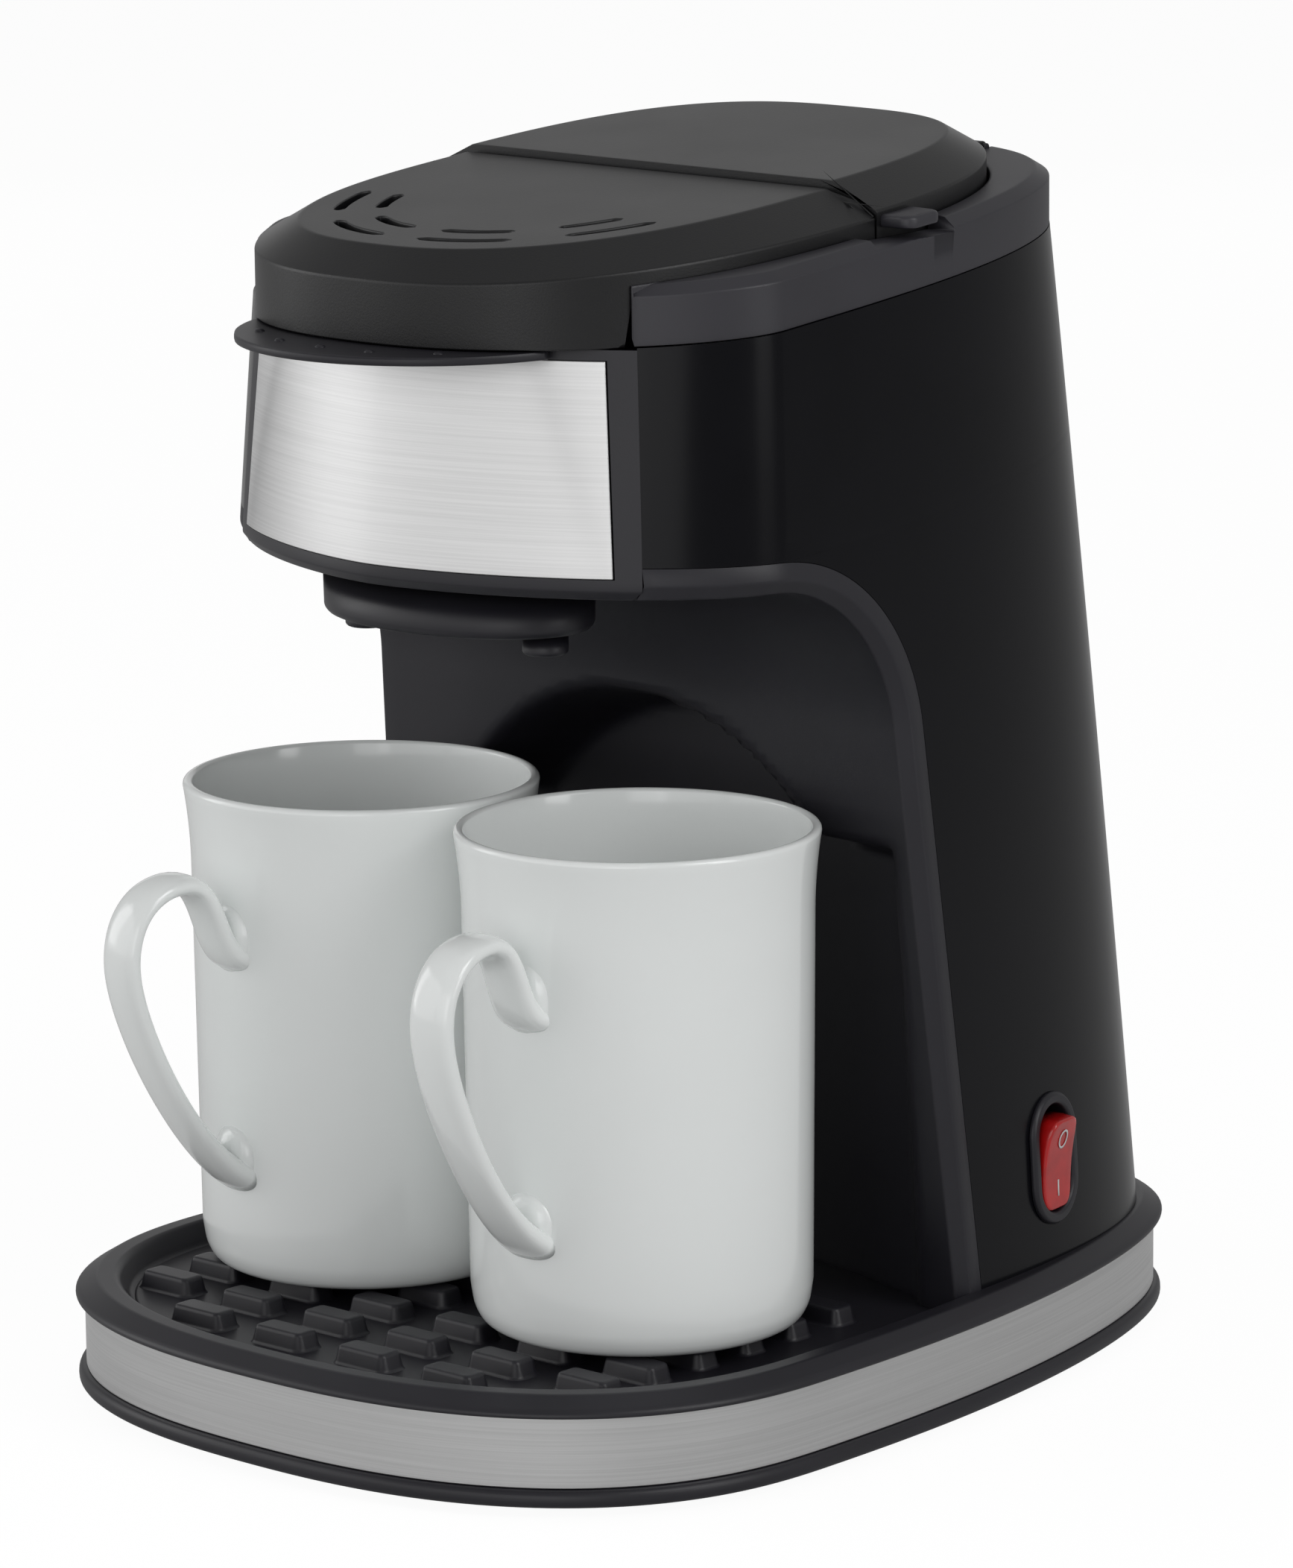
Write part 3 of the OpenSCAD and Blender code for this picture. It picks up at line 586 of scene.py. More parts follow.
class Nodes:
    """One node tree, emptied and filled again."""

    def __init__(self, tree: bpy.types.NodeTree) -> None:
        """Empties the tree."""
        self.tree = tree
        self.tree.nodes.clear()

    def node(
        self, kind: str, settings: Optional[dict] = None, values: Optional[dict] = None
    ) -> bpy.types.Node:
        """Adds a node.

        Args:
            kind: Blender's node type.
            settings: Properties set first, as they can change the sockets.
            values: Socket values, wires or sockets to link.

        Returns:
            The new node.
        """
        made = self.tree.nodes.new(kind)
        for key, value in (settings or {}).items():
            setattr(made, key, value)
        for key, value in (values or {}).items():
            self.put(made.inputs[key], value)
        return made

    def out(
        self, kind: str, settings: Optional[dict] = None, values: Optional[dict] = None, socket: object = 0
    ) -> Wire:
        """Adds a node and returns one of its outputs.

        Args:
            kind: Blender's node type.
            settings: Properties set first.
            values: Socket values, wires or sockets to link.
            socket: Name or number of the output.

        Returns:
            The output as a wire.
        """
        return Wire(self, self.node(kind, settings, values).outputs[socket])

    def put(self, socket: bpy.types.NodeSocket, value: object) -> None:
        """Sets a socket to a number or colour, or links a wire or another socket to it.

        Args:
            socket: The input socket.
            value: What it gets.
        """
        if isinstance(value, Wire):
            self.tree.links.new(value.socket, socket)
        elif isinstance(value, bpy.types.NodeSocket):
            self.tree.links.new(value, socket)
        elif isinstance(value, tuple) and socket.type == "RGBA":
            socket.default_value = (*value, 1.0)
        else:
            socket.default_value = value


class Shader(Nodes):
    """One procedural material around a Principled shader."""

    def __init__(self, name: str) -> None:
        """Makes the material with its Principled shader and output.

        Args:
            name: The material's name.
        """
        self.material = bpy.data.materials.new(name)
        self.material.use_nodes = True
        super().__init__(self.material.node_tree)
        self.principled = self.node("ShaderNodeBsdfPrincipled")
        self.node("ShaderNodeOutputMaterial", values={"Surface": self.principled.outputs["BSDF"]})

    def surface(self, **values: object) -> None:
        """Sets the Principled shader's sockets, named with underscores for spaces."""
        for key, value in values.items():
            self.put(self.principled.inputs[key.replace("_", " ")], value)

    def noise(self, scale: float, stretch: Point = (1.0, 1.0, 1.0), detail: float = 2.0) -> Wire:
        """Makes a noise that is fixed to the object.

        Args:
            scale: Waves for each metre.
            stretch: A further scale for each axis.
            detail: Number of finer layers.

        Returns:
            The noise, from 0 to 1.
        """
        where = self.out("ShaderNodeTexCoord", socket="Object")
        drawn = self.out("ShaderNodeVectorMath", {"operation": "MULTIPLY"}, {0: where, 1: stretch})
        return self.out("ShaderNodeTexNoise", {}, {"Vector": drawn, "Scale": scale, "Detail": detail})

    def drift(self, share: Wire, colour: Colour, darkest: float) -> None:
        """Sets a base colour that drifts darker in places.

        Args:
            share: 0 where the colour is darkest and 1 where it is full.
            colour: The full colour.
            darkest: Level of the darkest places.
        """
        factor, first, second, result = 0, 6, 7, 2
        values = {factor: share, first: shade(colour, darkest), second: colour}
        self.surface(Base_Color=self.out("ShaderNodeMix", {"data_type": "RGBA"}, values, result))

    def bump(self, height: Wire, strength: float, distance: float) -> None:
        """Feeds a height through a Bump node to the shader's normal.

        Args:
            height: The height, from 0 to 1.
            strength: Share of the full effect.
            distance: The height's real size, in metres.
        """
        values = {"Height": height, "Strength": strength, "Distance": distance}
        self.surface(Normal=self.out("ShaderNodeBump", {}, values))


@dataclass(frozen=True)
class Plastic:
    """Moulded plastic with a fine grain."""

    name: str
    colour: Colour
    rough: float
    specular: float = 0.5
    grain: float = 0.0
    grain_size: float = 0.35
    darkest: float = 0.86
    uneven: float = 0.06

    def make(self) -> bpy.types.Material:
        """Makes the material.

        Returns:
            The material.
        """
        shader = Shader(self.name)
        shader.surface(Specular_IOR_Level=self.specular, Coat_Weight=0.0, Coat_Roughness=0.05)
        cloud = shader.noise(35, detail=3)
        shader.drift(cloud.softened(0.35, 0.65), self.colour, self.darkest)
        shader.surface(Roughness=cloud * self.uneven + (self.rough - self.uneven / 2))
        if self.grain:
            shader.bump(shader.noise(1000 / self.grain_size, detail=1.5), self.grain, 0.0001)
        return shader.material


@dataclass(frozen=True)
class Brushed:
    """Sheet steel brushed level, along the sheet."""

    name: str
    colour: Colour
    rough: float
    depth: float = 0.12
    darkest: float = 0.88
    uneven: float = 0.1
    fine: Point = (0.16, 0.16, 26.0)
    broad: Point = (0.3, 0.3, 7.0)

    def make(self) -> bpy.types.Material:
        """Makes the material.

        Returns:
            The material.
        """
        shader = Shader(self.name)
        shader.surface(Metallic=1.0, Specular_IOR_Level=0.5)
        lines = shader.noise(100, self.fine, detail=4)
        streak = lines * 0.8 + shader.noise(60, self.broad, detail=3) * 0.2
        shader.drift(streak.softened(0.3, 0.7), self.colour, self.darkest)
        shader.surface(Roughness=streak * self.uneven + (self.rough - self.uneven / 2), Anisotropic=0.3)
        shader.bump(lines, self.depth, 0.00004)
        return shader.material


@dataclass(frozen=True)
class Metal:
    """Plain metal with a soft, uneven shine."""

    name: str
    colour: Colour
    rough: float
    uneven: float = 0.2

    def make(self) -> bpy.types.Material:
        """Makes the material.

        Returns:
            The material.
        """
        shader = Shader(self.name)
        shader.surface(Metallic=1.0, Base_Color=self.colour)
        shader.surface(Roughness=shader.noise(180, detail=3) * self.uneven + (self.rough - self.uneven / 2))
        return shader.material


@dataclass(frozen=True)
class Woven:
    """Fine wire cloth."""

    name: str
    colour: Colour
    pitch: float = 0.9
    darkest: float = 0.35

    def make(self) -> bpy.types.Material:
        """Makes the material.

        Returns:
            The material.
        """
        shader = Shader(self.name)
        shader.surface(Metallic=1.0, Roughness=0.42)
        where = shader.out("ShaderNodeTexCoord", socket="Object")
        axes = shader.node("ShaderNodeSeparateXYZ", values={0: where}).outputs
        x, y, z = ((Wire(shader, axis) * (math.pi / (self.pitch * MM))).sine() for axis in axes)
        shader.drift((x * y + z * 0.5).softened(-0.5, 0.5), self.colour, self.darkest)
        return shader.material


@dataclass(frozen=True)
class Glaze:
    """White porcelain under a clear glaze."""

    name: str
    colour: Colour
    rough: float = 0.12
    darkest: float = 0.985

    def make(self) -> bpy.types.Material:
        """Makes the material.

        Returns:
            The material.
        """
        shader = Shader(self.name)
        shader.surface(Specular_IOR_Level=0.5, Coat_Weight=0.25, Coat_Roughness=0.03)
        cloud = shader.noise(22, detail=2)
        shader.drift(cloud.softened(0.3, 0.7), self.colour, self.darkest)
        shader.surface(Roughness=cloud * 0.04 + self.rough)
        return shader.material


@dataclass(frozen=True)
class Lens:
    """Clear coloured plastic that lets some light through."""

    name: str
    colour: Colour
    rough: float = 0.22
    darkest: float = 0.8
    depth: Point = (0.004, 0.0008, 0.0008)

    def make(self) -> bpy.types.Material:
        """Makes the material.

        Returns:
            The material.
        """
        shader = Shader(self.name)
        shader.surface(Subsurface_Weight=0.35, Subsurface_Radius=self.depth, Subsurface_Scale=1.0)
        shader.surface(Specular_IOR_Level=0.5, Coat_Weight=0.3, Coat_Roughness=0.08)
        cloud = shader.noise(160, detail=2)
        shader.drift(cloud.softened(0.35, 0.65), self.colour, self.darkest)
        shader.surface(Roughness=cloud * 0.06 + self.rough)
        return shader.material


@dataclass
class Finishes:
    """Every finish of the machine, made once."""

    made: dict[str, bpy.types.Material] = field(default_factory=dict)

    def build(self) -> "Finishes":
        """Makes all materials.

        Returns:
            The finishes themselves.
        """
        recipes = [
            Plastic("satin_black", rgb(31, 30, 36), 0.42, 0.4, grain=0.12),
            Plastic("gloss_black", rgb(12, 12, 16), 0.2, 0.13),
            Plastic("liner_black", rgb(28, 27, 34), 0.48, 0.45, grain=0.15),
            Plastic("collar_black", rgb(44, 43, 49), 0.45, 0.5, grain=0.15),
            Plastic("lid_black", rgb(15, 15, 17), 0.4, 0.42, grain=0.25, grain_size=0.45),
            Plastic("rubber", rgb(22, 22, 22), 0.8, 0.2),
            Brushed("steel", (0.66, 0.66, 0.66), 0.42),
            Metal("zinc", (0.6, 0.6, 0.6), 0.35),
            Metal("aluminium", (0.55, 0.55, 0.56), 0.5),
            Woven("mesh", (0.6, 0.57, 0.5)),
            Plastic("tank", rgb(170, 173, 176), 0.35, 0.4),
            Plastic("silicone", rgb(205, 205, 200), 0.45, 0.4),
            Lens("red_rocker", rgb(190, 20, 20)),
            Metal("brass", (0.7, 0.55, 0.28), 0.3),
            Plastic("nylon", rgb(225, 225, 215), 0.45, 0.4),
            Glaze("porcelain", rgb(243, 246, 245)),
            Plastic("mark_white", rgb(225, 225, 225), 0.4, 0.4),
        ]
        for recipe in recipes:
            self.made[recipe.name] = recipe.make()
            log.info("finish %s", recipe.name)
        return self

    def __getitem__(self, key: Enum) -> bpy.types.Material:
        """Returns the finish of a material slot or an accent."""
        return self.made[key.value]


# ---------------------------------------------------------------- base


@dataclass(frozen=True)
class Base:
    """The foot: floor pan, steel band, cup deck and the mat of bumps.

    A profile holds growths from the base's outline and heights.
    """

    band_low: float = 6.1
    band_high: float = 21.4
    mat_z: float = 21.1
    recess_back: float = 30.0
    bump_top: float = 25.0
    pitch_x: float = 24.75
    pitch_y: float = 14.8
    first_row: float = -99.35
    row_count: int = 7
    columns: tuple[float, ...] = (-2.5, -1.5, -0.5, 0.5, 1.5, 2.5)
    bump_size: Flat = (12.8, 5.5)
    bump_corner: float = 1.0
    count: int = 240
    foot_spots: tuple[Flat, ...] = ((-60, -70), (60, -70), (-50, 78), (50, 78))
    pan_lip: tuple[Flat, ...] = (
        (-6.0, 2.0), (-0.6, 2.0), (0.9, 2.25), (1.6, 3.0), (1.6, 4.6), (1.1, 5.6), (0.2, 6.0), (-0.9, 6.0),
    )
    pan_wall: tuple[Flat, ...] = ((-1.0, 6.2), (-1.0, 21.3), (-3.4, 21.3), (-3.4, 4.0), (-20.0, 4.0))
    deck_rim: tuple[Flat, ...] = (
        (-3.7, 17.4), (-3.7, 21.5), (0.0, 21.5), (1.9, 21.6),
        (1.9, 22.6), (1.1, 23.4), (-2.6, 25.7), (-5.0, 25.7),
    )
    deck_recess: tuple[Flat, ...] = (
        (-5.5, 25.7), (-6.3, 25.7), (-7.3, 24.9), (-9.3, 21.0), (-10.6, 20.5), (-14.0, 20.5),
    )

    def angles(self) -> list[float]:
        """Returns evenly spaced angles around the base."""
        return BASE.even_angles(0, 360, self.count)[:-1]

    def ring(self, grow: float, z: float) -> list[Point]:
        """Returns one closed ring of the base outline."""
        return [(*BASE.point(a, grow), z) for a in self.angles()]

    def recess_ring(self, grow: float, z: float) -> list[Point]:
        """Makes a ring of the cup recess, which ends in a straight line under the body.

        Args:
            grow: How far the outline is grown outwards.
            z: Height of the ring.

        Returns:
            The ring.
        """
        corner = BASE.angle_at(self.recess_back, grow)
        half = BASE.point(corner, grow)[0]
        out: list[Point] = []
        for a in self.angles():
            if a <= corner or a >= 360 - corner:
                out.append((*BASE.point(a, grow), z))
            else:
                out.append((half * (180 - a) / (180 - corner), self.recess_back, z))
        return out

    def floor_pan(self, finishes: Finishes) -> None:
        """Makes the black pan with its rounded lip under the band.

        Args:
            finishes: The machine's materials.
        """
        profile = [(-20.0, 2.0), *rounded(self.pan_lip, 0.7, 3), *self.pan_wall]
        holes = tuple(
            solid(f"recess_{i}", Sketch().closed(lathe([(4, -1), (4, 3)], spot, 48)))
            for i, spot in enumerate(self.foot_spots)
        )
        sketch = Sketch().closed([self.ring(g, z) for g, z in profile])
        trim = Trim(cutters=holes)
        piece(finishes, "floor_pan", sketch, Body.MACHINE, Slot.SATIN_BLACK, trim, ["base_pan"])

    def steel_band(self, finishes: Finishes) -> None:
        """Makes the brushed band.

        Args:
            finishes: The machine's materials.
        """
        low, high = self.band_low, self.band_high
        outside = [
            (-0.3, low), (-0.08, low + 0.07), (0.0, low + 0.3),
            (0.0, high - 0.3), (-0.08, high - 0.07), (-0.3, high),
        ]
        inside = [(-0.85, high), (-0.9, high - 0.2), (-0.9, low + 0.2), (-0.85, low)]
        sketch = Sketch().grid([self.ring(g, z) for g, z in outside + inside], around=True, loop=True)
        piece(finishes, "brushed_band", sketch, Body.MACHINE, Slot.STEEL, Trim(), ["steel_band"])

    def cup_deck(self, finishes: Finishes) -> None:
        """Makes the rim over the band and the recess that the mugs stand in.

        Args:
            finishes: The machine's materials.
        """
        rows = [self.ring(g, z) for g, z in rounded(self.deck_rim, 0.5, 3)]
        rows += [self.recess_ring(g, z) for g, z in rounded(self.deck_recess, 0.7, 4)]
        sketch = Sketch().grid(rows, around=True, caps=(False, True))
        piece(finishes, "cup_deck", sketch, Body.MACHINE, Slot.SATIN_BLACK, Trim(), ["base_deck"])

    def bump(self, x: float, y: float) -> list[list[Point]]:
        """Makes the rings of one rounded bump.

        Args:
            x: Its middle's x.
            y: Its middle's y.

        Returns:
            The rings, from the mat up.
        """
        half_l, half_w = self.bump_size[0] / 2, self.bump_size[1] / 2
        foot, top = self.mat_z, self.bump_top
        profile = [(2.0, foot - 0.1), (1.5, foot + 0.15), (1.15, foot + 0.7), (0.5, top - 0.9)]
        profile += [(0.25, top - 0.35), (-0.15, top - 0.06), (-0.8, top)]
        steps = 4
        rings = []
        for grow, z in profile:
            radius = self.bump_corner + max(0.0, grow)
            ring: list[Point] = []
            for quarter, (sx, sy) in enumerate([(1, -1), (1, 1), (-1, 1), (-1, -1)]):
                cx, cy = sx * (half_l + grow - radius), sy * (half_w + grow * 0.8 - radius)
                for k in range(steps + 1):
                    t = math.radians(90 * (quarter - 1) + 90 * k / steps)
                    ring.append((x + cx + radius * math.cos(t), y + cy + radius * math.sin(t), z))
            rings.append(ring)
        return rings

    def bump_mat(self, finishes: Finishes) -> None:
        """Makes the mat with its rows of bumps.

        Args:
            finishes: The machine's materials.
        """
        edge = [(-10.2, 20.55), (-10.5, 20.95), (-10.9, self.mat_z), (-14, self.mat_z)]
        sketch = Sketch().grid([self.recess_ring(g, z) for g, z in edge], around=True, caps=(False, True))
        for row in range(self.row_count):
            for column in self.columns:
                if row > 0 or abs(column) < 2:
                    rings = self.bump(column * self.pitch_x, self.first_row + row * self.pitch_y)
                    sketch.grid(rings, around=True, caps=(False, True))
        piece(finishes, "cup_mat", sketch, Body.MACHINE, Slot.SATIN_BLACK, Trim(), ["bump_mat"])

    def build(self, finishes: Finishes) -> None:
        """Makes every piece of the base.

        Args:
            finishes: The machine's materials.
        """
        self.floor_pan(finishes)
        self.steel_band(finishes)
        self.cup_deck(finishes)
        self.bump_mat(finishes)


# ---------------------------------------------------------------- body


@dataclass(frozen=True)
class Column:
    """The glossy body and the matte liner of the mug bay.

    The bay's back leans forwards as it rises and turns into the head's underside in a round bend.
    """

    foot_y: float = 17.0
    lean: float = 0.094
    bend: float = 45.0
    wall: float = 2.4
    liner_wall: float = 1.2
    liner_low: float = 20.6
    strip: tuple[Flat, ...] = ((0.15, 0.0), (3.9, 0.0), (6.9, 2.4), (7.1, 5.0))
    niche_y: float = -188.9
    niche_r: float = 215.0
    niche_half: float = 72.0
    niche_top: float = 124.0
    arch_z: float = 89.0
    arch_r: float = 60.0
    niche_edge: Flat = (-5.5, 1.5)
    cord_at: Flat = (-30.0, 44.0)
    cord_r: float = 6.0
    straight_steps: int = 57
    bend_steps: int = 28
    roof_steps: int = 10
    rise_steps: int = 14
    columns: int = 90
    across: int = 64

    def path(self, low: float) -> list[tuple[float, float, float, float]]:
        """Returns the bay's side view from a height up round the bend to the front.

        Args:
            low: Height where the path starts.

        Returns:
            Y, Z and the direction into the bay, for each point.
        """
        tilt = math.atan(self.lean)
        bend_z = HEAD_Z - self.bend
        touch_z = bend_z + self.bend * math.sin(tilt)
        touch_y = self.foot_y - self.lean * (touch_z - DECK_Z)
        bend_y = touch_y - self.bend * math.cos(tilt)
        out = []
        for k in range(self.straight_steps):
            z = mix(low, touch_z, k / self.straight_steps)
            out.append((self.foot_y - self.lean * (z - DECK_Z), z, -math.cos(tilt), -math.sin(tilt)))
        for k in range(self.bend_steps + 1):
            a = mix(tilt, math.pi / 2, k / self.bend_steps)
            c, s = math.cos(a), math.sin(a)
            out.append((bend_y + self.bend * c, bend_z + self.bend * s, -c, -s))
        for k in range(1, self.roof_steps + 1):
            out.append((mix(bend_y, frame_back(HEAD_Z), k / self.roof_steps), HEAD_Z, 0.0, -1.0))
        return out

    def shell_rows(self) -> list[list[Point]]:
        """Makes the rows of the outside, from the bay's edge on one side round the back to the other.

        Returns:
            The rows, from the deck up to the seam.
        """
        path = [(y, z) for y, z, _, _ in self.path(DECK_Z)]
        top = sloped(SEAM_Z, frame_back(SKIRT_Z))
        heights = [mix(HEAD_Z, top, k / self.rise_steps) for k in range(1, self.rise_steps + 1)]
        edge = path + [(frame_back(z), z) for z in heights]
        rows = []
        for index, (y, z) in enumerate(edge):
            share = (z - DECK_Z) / (sloped(SEAM_Z, y) - DECK_Z)
            progress = min(1.0, max(0.0, (index - self.straight_steps) / (len(path) - self.straight_steps)))
            left = 1 - max(0, index - len(path) + 1) / self.rise_steps
            rear = share + 0.05 * progress * left
            start = body_at(z).angle_at(y)
            half: list[Point] = []
            for k in range(self.columns + 1):
                w = k / self.columns
                angle = mix(start, 180.0, w)
                level = mix(share, rear, smooth(0, 1, w))
                at = z
                for _ in range(3):
                    at = mix(DECK_Z, sloped(SEAM_Z, body_at(at).point(angle)[1]), level)
                half.append((*body_at(at).point(angle), at))
            rows.append(half + [(-px, py, pz) for px, py, pz in reversed(half[:-1])])
        return rows

    def cord_hole(self) -> bpy.types.Object:
        """Makes the solid that cuts the opening for the cord gland.

        Returns:
            The cutter.
        """
        (x, z), r = self.cord_at, self.cord_r
        rows = [[(x + r * math.cos(t), y, z - r * math.sin(t)) for t in turns(48)] for y in (90, 150)]
        return solid("cord_hole", Sketch().closed(rows))

    def shell(self, finishes: Finishes, switch: "Switch") -> None:
        """Makes the glossy body with its openings for the switch and the cord gland.

        Args:
            finishes: The machine's materials.
            switch: The switch, whose opening it gets.
        """
        sketch = Sketch().grid(self.shell_rows())
        trim = Trim(wall=self.wall, bevel=0.35, cutters=(switch.hole(), self.cord_hole()))
        piece(finishes, "glossy_body", sketch, Body.MACHINE, Slot.GLOSS_BLACK, trim, ["body_shell"])

    def niche_depth(self, x: float, y: float, z: float) -> float:
        """Works out how far the niche goes in behind a point of the bay's back wall.

        Args:
            x: The point's x.
            y: The wall's y there.
            z: The point's height.

        Returns:
            The depth, or 0 outside the niche.
        """
        back = self.niche_y + math.sqrt(self.niche_r**2 - x * x)
        side = max(abs(x) - self.niche_half, z - self.niche_top)
        arch = math.hypot(x, z - self.arch_z) - self.arch_r
        return max(0.0, back - y) * (1 - smooth(*self.niche_edge, min(side, arch)))

    def liner_rows(self) -> list[list[Point]]:
        """Makes the rows of the liner, with its rolled edge at both sides and the niche in its back.

        Returns:
            The rows, from the deck up round the bend.
        """
        rows = []
        lowest_outline = 24.0
        for y, z, ny, nz in self.path(self.liner_low):
            edge: list[Point] = []
            for inset, roll in rounded(self.strip, 0.5, 4):
                py, pz = y + inset * ny, z + inset * nz
                edge.append((body_at(max(pz, lowest_outline)).x_at(py) - roll, py, pz))
            half, flat_y, flat_z = edge[-1]
            row = list(edge)
            for k in range(1, self.across):
                x = half * (1 - 2 * k / self.across)
                row.append((x, flat_y + self.niche_depth(x, flat_y, flat_z), flat_z))
            rows.append(row + [(-px, py, pz) for px, py, pz in reversed(edge)])
        return rows

    def liner(self, finishes: Finishes) -> None:
        """Makes the matte liner round the bay, with its face towards the mugs.

        Args:
            finishes: The machine's materials.
        """
        sketch = Sketch().grid([list(reversed(row)) for row in self.liner_rows()])
        trim = Trim(wall=self.liner_wall)
        piece(finishes, "bay_liner", sketch, Body.MACHINE, Slot.LINER_BLACK, trim, ["column_liner"])

    def build(self, finishes: Finishes, switch: "Switch") -> None:
        """Makes the body's pieces."""
        self.shell(finishes, switch)
        self.liner(finishes)


# ---------------------------------------------------------------- head


@dataclass(frozen=True)
class Head:
    """The front of the brewing head: frame, steel panel, coffee outlet and spouts."""

    low_z: float = 185.0
    window_low: float = 189.5
    window_high: float = 234.7
    window_half_low: float = 53.8
    window_half_high: float = 50.2
    outlet_y: float = -55.5
    outlet_side: tuple[Flat, ...] = ((34.2, 184.9), (34.0, 175.3), (33.0, 174.1), (20.0, 174.1))
    outlet_narrower: float = 12.3
    spout_x: float = 26.0
    spout_y: float = -56.5
    spout_side: tuple[Flat, ...] = (
        (2.6, 174.3), (2.6, 170.0), (3.0, 169.5), (4.3, 169.5), (4.9, 170.1), (4.9, 174.3),
    )
    frame_wall: float = 2.4
    panel_wall: float = 0.9
    pane_steps: int = 40
    stile_steps: int = 6

    def window_half(self, z: float) -> float:
        """Returns the window's half-width at a height."""
        share = (z - self.window_low) / (self.window_high - self.window_low)
        return mix(self.window_half_low, self.window_half_high, share)

    def front_y(self, x: float, z: float, grow: float) -> float:
        """Finds the y of the head's skin.

        Args:
            x: The point's x.
            z: The point's height.
            grow: How far the outline is grown outwards.

        Returns:
            The y.
        """
        shape = body_at(z)
        share = min(1.0, abs(x) / (shape.half_w + grow))
        return shape.y - (shape.front + grow) * (1 - share**shape.front_n) ** (1 / shape.front_n)

    def back_x(self, z: float, grow: float) -> float:
        """Returns the half-width of the skin where it meets the body."""
        return body_at(z).x_at(frame_back(z), grow)

    def frame(self, finishes: Finishes) -> None:
        """Makes the black frame with its window for the panel.

        Args:
            finishes: The machine's materials.
        """
        low = self.low_z
        curl = rounded([(-3.0, low), (-1.9, low + 0.1), (-0.1, low + 2), (0.0, low + 3.2)], 0.3, 2)
        levels = curl + [(0.0, z) for z in (low + 4, self.window_low)]
        first = len(levels)
        levels += [(0.0, mix(self.window_low, self.window_high, k / 12)) for k in range(1, 13)]
        last = len(levels) - 1
        levels += [(0.0, mix(self.window_high, SKIRT_Z - 0.1, k / 2)) for k in (1, 2)]
        inner, outer = self.pane_steps, self.stile_steps
        rows: list[list[Point]] = []
        for index, (grow, z) in enumerate([(-3.0, low)] + levels):
            half, edge = self.window_half(min(z, self.window_high)), self.back_x(z, grow)
            row = []
            for k in range(-inner - outer, inner + outer + 1):
                side = math.copysign(1, k) if k else 0
                x = half * abs(k) / inner if abs(k) <= inner else mix(half, edge, (abs(k) - inner) / outer)
                y = frame_back(z) if index == 0 else self.front_y(x, z, grow)
                row.append((side * x, y, z))
            rows.append(row)

        def keep(row: int, column: int) -> bool:
            """Returns whether a cell lies outside the window."""
            return not (first <= row <= last and outer <= column < outer + 2 * inner)

        trim = Trim(wall=self.frame_wall, bevel=0.4)
        sketch = Sketch().grid(rows, keep=keep)
        piece(finishes, "head_surround", sketch, Body.MACHINE, Slot.SATIN_BLACK, trim, ["head_frame"])

    def panel(self, finishes: Finishes) -> None:
        """Makes the brushed steel panel, a little proud of the frame and clear of its window.

        Args:
            finishes: The machine's materials.
        """
        up, across = 16, 48
        rows = []
        for k in range(up + 1):
            z = mix(self.window_low + 0.15, self.window_high - 0.1, k / up)
            half = self.window_half(z) - 0.2
            xs = [half * j / across for j in range(-across, across + 1)]
            rows.append([(x, self.front_y(x, z, 0.22), z) for x in xs])
        trim = Trim(wall=self.panel_wall, bevel=0.22)
        piece(finishes, "brushed_panel", Sketch().grid(rows), Body.MACHINE, Slot.STEEL, trim, ["steel_panel"])

    def outlet(self, finishes: Finishes) -> None:
        """Makes the coffee outlet under the head, with its two spouts.

        Args:
            finishes: The machine's materials.
        """
        rows = []
        for r, z in reversed(rounded(self.outlet_side, 0.6, 3)):
            squash = 1 - self.outlet_narrower / r
            round_ring = lathe([(r, z)], (0.0, 0.0), 160)[0]
            rows.append([(x, self.outlet_y + y * squash, z) for x, y, _ in round_ring])
        outlet = Sketch().closed(rows)
        piece(finishes, "coffee_outlet", outlet, Body.MACHINE, Slot.SATIN_BLACK, Trim(), ["outlet_housing"])
        tubes = Sketch()
        for x in (-self.spout_x, self.spout_x):
            tubes.closed(lathe(rounded(self.spout_side, 0.35, 3), (x, self.spout_y), 64))
        piece(finishes, "spout_pair", tubes, Body.MACHINE, Slot.SATIN_BLACK, Trim(), ["spouts"])

    def build(self, finishes: Finishes) -> None:
        """Makes the head's pieces.

        Args:
            finishes: The machine's materials.
        """
        self.frame(finishes)
        self.panel(finishes)
        self.outlet(finishes)


# ---------------------------------------------------------------- top


